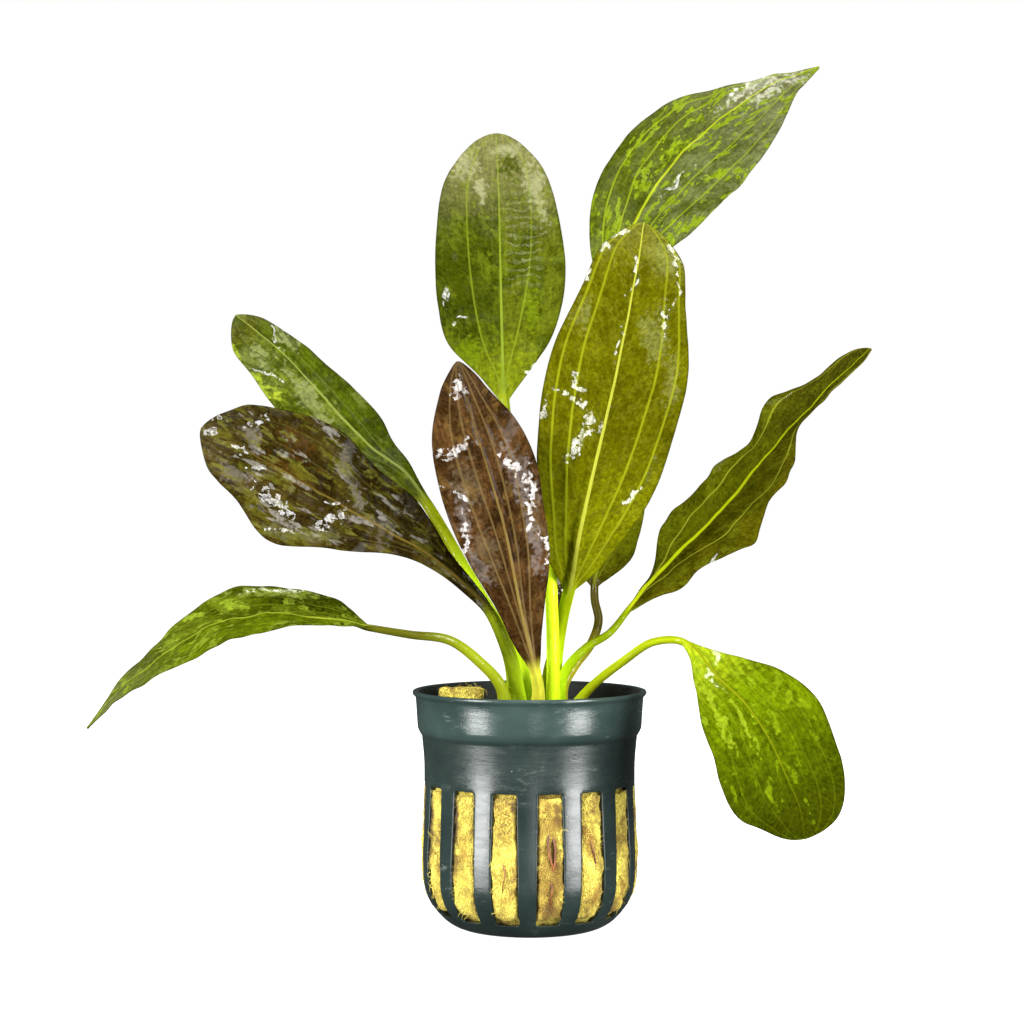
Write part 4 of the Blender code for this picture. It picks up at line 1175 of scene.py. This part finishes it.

# ---------------------------------------------------------------- red front leaf
# Leaf that stands in front with its underside to the viewer, red brown as young growth is,
# crumpled, with tan veins, wet places that shine and painted grey and lilac sheen.
leaf("leaf_red_front", "red_brown_leaf", 4, ((0, 0.58, 0.25), (0, 0.3, 0.5)),
     dict(base="3D2812", deep="201104", tip="281B0E", tip_from=0.8, stalk="A8A830",
          rib="69592C", rib_half=0.4, rib_fade=0.9, vein="5D4C2C", vein_half=0.3, vein_show=0.75,
          flecks=(("523D1B", 0.5, 0.18), ("1E1002", 0.5, 0.25)), fleck_size=1.2, fleck_long=0.5,
          fleck_edge=0.3, streaks=0.45,
          patches=(("1B0D01", 0.7, ((4, 56, 5, 1.8, 90), (-3.5, 54, 5, 2.5, 90))),
                   # painted sheen: the grey brown patches here and the lilac grey ones after them
                   ("504531", 0.5,
                    ((5.4, 42, 6, 3.2, 85), (-6.5, 33, 7, 2.2, 88), (4.6, 26, 6, 2, 85))),
                   ("271605", 0.6, ((0, 10, 9, 5, 90),)),
                   ("635B56", 0.55,
                    ((-5.5, 41, 7, 2.4, 88), (-5.4, 27, 8, 1.7, 86), (7.6, 36, 6, 1.8, 95),
                     (6.6, 24, 5, 1.2, 80)))),
          glints=((1.2, 62.3, 3.4, 1.8, 90), (5, 49.6, 6, 1.3, -4), (-6.3, 36, 7, 1.5, 95),
                  (-4.6, 44, 5, 1.3, 75), (8.6, 29, 7, 1.1, 98), (-7.4, 25, 5, 1.2, 80),
                  (-5, 31, 4, 1.1, 110), (7.6, 40, 4, 1, 60), (-7.6, 40, 3, 1, 100)),
          crease=0.05, crinkle=0.04, coat=0.08),
     spine=((1.6, -4.8, 46.3), (1.8, -6, 50.5), (1, -7.5, 55.2), (-2.1, -11, 68.7),
            (-5.2, -15, 84.3), (-8.7, -17.5, 96.7), (-12.3, -19.5, 108.5), (-14.9, -21, 118.6)),
     blade_from=2, stalk=(1.3, 1.2), facing=(-0.05, 0.97, 0.2),
     left=(1.2, 2.6, 5.2, 8, 9, 10, 8, 4, 2), right=(1.2, 3.1, 4.8, 8.3, 10.5, 10.7, 9, 5, 2),
     ruffle=0.6, waves=3, rounding=0.92)

# ---------------------------------------------------------------- tall back leaf
# Broad oval blade standing at the back, green with painted silvery sheen toward the tip, and
# thrown into fine wrinkles between its veins, with a painted highlight along their tops.
leaf("leaf_tall_back", "silver_green_leaf", 5, ((-1, 0.6, 0.35), (1, 0.68, 0.6)),
     dict(base="2E3504", deep="1E2401", right=("3D4309", "2B3002"), tip="52512E",
          tip_from=0.55, foot="5D670C", foot_to=0.3, stalk="808C16", rib="606E1D", rib_half=0.42,
          rib_fade=0.6, vein="5D6916", vein_half=0.32, vein_show=0.75,
          flecks=(("4C550C", 0.4, 0.25),), fleck_size=1.6, fleck_edge=0.3, streaks=0.25,
          # painted highlight: the ladder's pale grey green lies along the tops of the wrinkles
          ladder=(1, 0.06, 0.7, 0.38, 0.86, 2, "727651", 0.4),
          patches=(("272D01", 0.85,
                    ((-9.5, 30, 8, 4, 90), (-6, 39, 5, 3.2, 90), (11, 14, 6, 2.4, 60),
                     (3, 58, 5, 3, 120))),
                   # painted sheen: the silvery grey patches toward the tip
                   ("727153", 0.7,
                    ((9, 50, 8, 2.6, 100), (-8, 57, 4, 3.4, 60), (-4, 50, 4, 1.4, 80),
                     (3, 60, 2, 4, 80))),
                   ("212601", 0.6, ((13.5, 34, 12, 1.4, 92),)),
                   ("4D5D06", 0.6, ((7.5, 22, 6, 1.8, 85), (-8, 10, 5, 3, 80)))),
          glints=((-12.9, 25.1, 4, 1, 100), (-10, 18.3, 3.4, 0.5, 25), (7, 8, 3, 1, 60)),
          crease=0.08, crinkle=0.02, coat=0.03),
     spine=((0.5, 5.5, 46.3), (0.4, 6.3, 50), (0.2, 8.6, 58), (-0.5, 12, 72), (-2.5, 19, 92),
            (-5.5, 27, 113.5), (-6, 31, 127.4), (-6.4, 35, 143.9), (-6.8, 38, 160.5),
            (-7.4, 40, 176.2)),
     blade_from=5, stalk=(1.3, 1.2), facing=(0, -0.98, 0.2),
     left=(1.2, 5, 12, 14.5, 15, 14.5, 13, 9.5, 8), right=(1.2, 5, 10.5, 14, 15, 14, 12, 9, 7),
     rounding=0.85)

# ---------------------------------------------------------------- top right leaf
# Pointed blade reaching highest, grey green with lime flecks crowded along its lime veins,
# and a painted pale highlight along the veins near its tip.
leaf("leaf_top_right", "lime_flecked_leaf", 6,
     ((-1, 0.85, 0.9), (1, 0.58, 0.55), (-1, 0.9, 0.25), (1, 0.85, 0.3)),
     dict(base="39400E", deep="272D05", right=("454B28", "303611"), tip="4C4C33", tip_from=0.5,
          foot="515D18", foot_to=0.3, stalk="738012", stalk_low_lime_and_light="B8D81A", rib="788214",
          rib_half=0.5, vein="626E0D", vein_half=0.3, vein_show=0.9,
          flecks=(("58680C", 0.85, 0.2), ("293003", 0.5, 0.15)), fleck_size=0.9, fleck_long=0.4,
          streaks=0.2,
          patches=(("5D6E0E", 0.85,
                    ((-2.4, 46.5, 5, 1.2, 78), (10.5, 47, 3, 1.3, 70), (6, 53.5, 2.6, 0.7, 80))),
                   # painted highlight: pale grey along the veins near the tip
                   ("858573", 0.8, ((-2.4, 73, 11, 2, 88), (1.6, 76, 9, 1.8, 92)))),
          glints=((4, 40, 6, 0.7, 78), (-3.4, 72, 9, 0.9, 90)), coat=0.06),
     spine=((5, -3, 46.3), (5, -3.2, 50.3), (4.9, -3.2, 61), (4.6, -1.6, 73.5), (5.8, 7, 93),
            (10.9, 18, 117.4), (16.8, 25.5, 131), (24.4, 34, 154.4), (33.5, 39, 168.6),
            (47.3, 42, 181.5), (59.3, 44, 189.2), (68.6, 45, 192.7)),
     blade_from=6, stalk=(1.4, 1.1),
     facing=((-0.1, -0.9, 0.4), (-0.23, -0.85, 0.47), (-0.23, -0.85, 0.47)),
     left=(1.1, 3, 7.5, 12.5, 14, 11.5, 5, 1.5, 0.3), right=(1.1, 3, 9, 15.5, 18, 17, 12, 5, 0.3),
     ruffle=0.5, rounding=1)

# ---------------------------------------------------------------- broad front leaf
# The largest leaf, its underside to the viewer, olive green with raised lime veins, a fine
# cross net between them and wet creases that catch the light, with painted pale sheen.
leaf("leaf_broad_front", "olive_leaf", 7, ((0, 0.64, 0.3), (0, 0.9, 0.16)),
     dict(base="484902", deep="3B3B01", tip="50501D", tip_from=0.85, foot="696E05",
          foot_to=0.45, stalk="809107", stalk_low_lime_and_light="B8DC14", rib="888B2C", rib_half=0.5,
          vein="717710", vein_half=0.38, vein_show=0.85,
          flecks=(("3C3B01", 0.3, 0.35), ("606113", 0.25, 0.35)), fleck_size=0.6, streaks=0.12,
          net="2E2D01", net_show=0.35,
          patches=(("353501", 0.5, ((3, 62, 9, 3.4, 88), (-5, 40, 9, 3, 92), (6, 24, 8, 3, 100))),
                   # painted sheen: pale olive patches beside the wet creases
                   ("676935", 0.55,
                    ((-6.5, 56, 5, 2.8, 70), (-12, 48, 5, 1.8, 90), (9, 58, 4, 2.2, 80),
                     (-5.5, 73, 4, 3.4, 80)))),
          glints=((6.3, 40.3, 6.4, 1.3, 26), (4, 32, 7, 1.5, -62), (-7.6, 60, 4.4, 1.3, 80),
                  (8, 44.5, 2.8, 0.9, 60), (2.6, 37, 3, 1.2, 100), (-8, 74, 4.4, 1.7, 60),
                  (8, 74, 3.8, 1.2, 40), (-9.5, 24, 7, 1, 115), (13.2, 36, 4, 0.9, 95),
                  (10.5, 66, 2.8, 1.2, 80), (-9, 67, 5, 0.8, 100), (0.5, 68, 6, 0.4, 90),
                  (0.5, 54, 5, 0.35, 90), (5, 77.5, 4, 0.8, 150)),
          crinkle=0.012, coat=0),
     spine=((5.2, 3.4, 46.3), (5.4, 3.3, 50), (5.7, 2.8, 54), (6.2, 1.9, 59.5), (7.1, 0.3, 65.5),
            (8.4, -2.4, 71.5), (10.1, -7, 82.2), (13, -10.5, 95.8), (16.6, -12.5, 111.3),
            (19.9, -13, 126.8), (22.3, -12, 139.5), (23.8, -9.5, 148.4)),
     blade_from=5, stalk=(1.3, 1.3), facing=((-0.1, 0.97, 0.1), (-0.1, 0.97, 0.1), (-0.1, 0.97, 0)),
     left=(1.3, 6.5, 11, 14.5, 15.3, 15, 12, 9.5, 6),
     right=(1.3, 5.5, 8.6, 12.3, 14, 13.5, 10.5, 8, 5), ruffle=0.8, waves=3)

# ---------------------------------------------------------------- small back leaf
# Small blade in the shade behind the broad one, deep green, on a brown olive stalk.
leaf("leaf_small_back", "deep_green_leaf", 8, ((0, 0.55, 0.35),),
     dict(base="494D05", deep="333502", foot="262401", foot_to=0.3, stalk="393307",
          stalk_low_lime_and_light="8E8C1C", rib="575C12", rib_half=0.4, vein="525710", vein_half=0.2,
          vein_show=0.5, streaks=0.2),
     spine=((7, 6.2, 46.3), (7.4, 7, 50), (9.7, 9, 54), (13.8, 12.5, 59.3), (15.4, 15, 64.2),
            (14.6, 16.5, 68.5), (14.6, 17.5, 71.5), (15.9, 19, 77.3), (17.5, 21, 84.5),
            (18.8, 23.5, 91.9), (19.8, 26, 99.4), (20.6, 28, 104.4)),
     blade_from=6, stalk=(1.1, 0.9), facing=(-0.1, -0.9, 0.35),
     left=(0.9, 4, 5.7, 6.5, 6.5, 6, 5, 3.5, 2), right=(0.9, 3.5, 6.7, 7.5, 7.8, 7.5, 6.5, 5, 3))

# ---------------------------------------------------------------- wavy right leaf
# Long narrow blade with a deeply waved margin, dark olive, split by a bright yellow midrib
# between two fine side veins.
leaf("leaf_wavy_right", "dark_olive_leaf", 9, ((1, 1, 0.7), (-1, 0.9, 0.5)),
     dict(base="434702", deep="323501", right=("3B3802", "2C2B00"), tip="2E2D04", tip_from=0.4,
          stalk="6E7D05", stalk_low_lime_and_light="A8CC14", rib="A4B010", rib_half=0.6, rib_fade=0.6,
          vein="7B7E20", vein_half=0.28, vein_show=0.9, flecks=(("484D07", 0.5, 0.2),),
          streaks=0.18, crinkle=0.01,
          glints=((-7.6, 39.6, 2, 0.8, 90), (-8.2, 63, 3, 0.7, 90), (12, 20, 2.6, 0.7, 90)),
          coat=0),
     spine=((6.4, 0, 46.3), (6.6, 0.2, 50), (7.4, 0.7, 53.2), (12, 2.5, 58.6), (17.4, 4.5, 61.9),
            (21.2, 6, 66.4), (24.1, 7.5, 70), (32.1, 10, 78.2), (46.4, 15, 92.5), (57.6, 19, 105.7),
            (66.1, 22, 114.3), (77.2, 24, 124.7)),
     blade_from=5, stalk=(1.2, 0.65),
     facing=((-0.39, -0.68, 0.6), (-0.46, -0.6, 0.64), (-0.58, -0.39, 0.7)),
     stations=tuple(step / 16 for step in range(17)),
     left=(0.7, 0.8, 1.8, 4.6, 8, 10.6, 8.8, 7.5, 8.8, 9, 7.6, 8.3, 9.8, 9, 6.6, 5.2, 5),
     right=(0.7, 4, 7.5, 9, 14.5, 16, 13.2, 11.8, 13.6, 10.2, 5.6, 3, 3.2, 2.5, 2.4, 3, 3.4),
     fold=12, ruffle=2, waves=4, phase=(0.45, 0.27), rounding=0.92)

# ---------------------------------------------------------------- drooping right leaf
# Leaf that hangs over the right side of the pot, bright green and soft, marbled with lime and
# darker toward its tip.
leaf("leaf_drooping_right", "bright_green_leaf", 10, ((0, 0.5, 0.35), (0, 0.8, 0.25)),
     dict(base="495902", deep="364201", tip="202401", tip_from=0.25, foot="788611",
          foot_to=0.36, stalk="808D0C", rib="616609", rib_half=0.3, rib_fade=0.9, vein="5B670B",
          vein_half=0.25, vein_show=0.3, flecks=(("566907", 0.5, 0.2), ("627611", 0.7, 0.07)),
          fleck_size=1, fleck_long=0.5, fleck_fade=0.55, streaks=0.3,
          patches=(("586908", 0.8,
                    ((-7.5, 18.5, 3, 1.1, 10), (-8, 22, 2.6, 1, 40), (-10, 25, 1.8, 1.2, 0),
                     (4, 36, 3, 0.8, 80), (-3, 25, 2.4, 1, 60))),
                   ("6C7B16", 0.7,
                    ((5, 12, 9, 0.8, 76), (6.6, 20, 6, 0.6, 74), (2.6, 20, 7, 0.5, 82))),
                   ("292E01", 0.6, ((-1, 43, 5, 10, 90),))),
          glints=((-3, 5.5, 4.5, 0.5, 20), (1.5, 9, 5, 0.4, 90)), coat=0),
     spine=((8.8, -3.3, 46.3), (11.7, -5, 49.6), (19.4, -11, 56.8), (25.9, -16, 61.3),
            (31.4, -20, 61.3), (34, -21.5, 59.3), (37, -23, 55.6), (42.8, -27, 49.5),
            (47.8, -29, 42.1), (51.1, -31, 34.8), (53.4, -31.5, 29), (54.6, -31, 23)),
     blade_from=4, stalk=(1, 0.75),
     facing=((0.1, -0.7, 0.7), (0.15, -0.95, 0.25), (0.15, -0.95, 0.2)),
     left=(0.8, 2, 6.7, 10.5, 12.8, 12, 11.5, 11, 11),
     right=(0.8, 2.5, 5.7, 10.3, 12, 13.5, 13.5, 12, 11), rounding=0.72)

# ---------------------------------------------------------------- young leaf
# A new leaf still half rolled, dark red brown and glossy, standing between the large ones.
leaf("leaf_young", "young_red_leaf", 11, (),
     dict(base="2D2005", deep="1A1103", stalk="808C0C", rib="3E3C0E", rib_half=0.35,
          flecks=(("5E593C", 0.7, 0.2),), fleck_size=0.9, streaks=0.35, roughness=0.35,
          glints=((0.5, 18, 9, 1.2, 90),), crinkle=0.06, coat=0.3),
     spine=((3.3, 5.4, 46.3), (3.4, 5.5, 50), (3.9, 5.2, 54), (5, 5.4, 58), (6.4, 5.4, 65.5),
            (7.6, 5.6, 73), (9.6, 6.8, 83)),
     blade_from=3, stalk=(0.9, 0.8), facing=(0.1, -0.95, 0.2),
     left=(0.8, 1, 1.4, 2, 2.4, 2.4, 2, 1.4, 1), right=(0.8, 1, 1.4, 2, 2.4, 2.4, 2, 1.4, 1),
     fold=20, rounding=0.92)
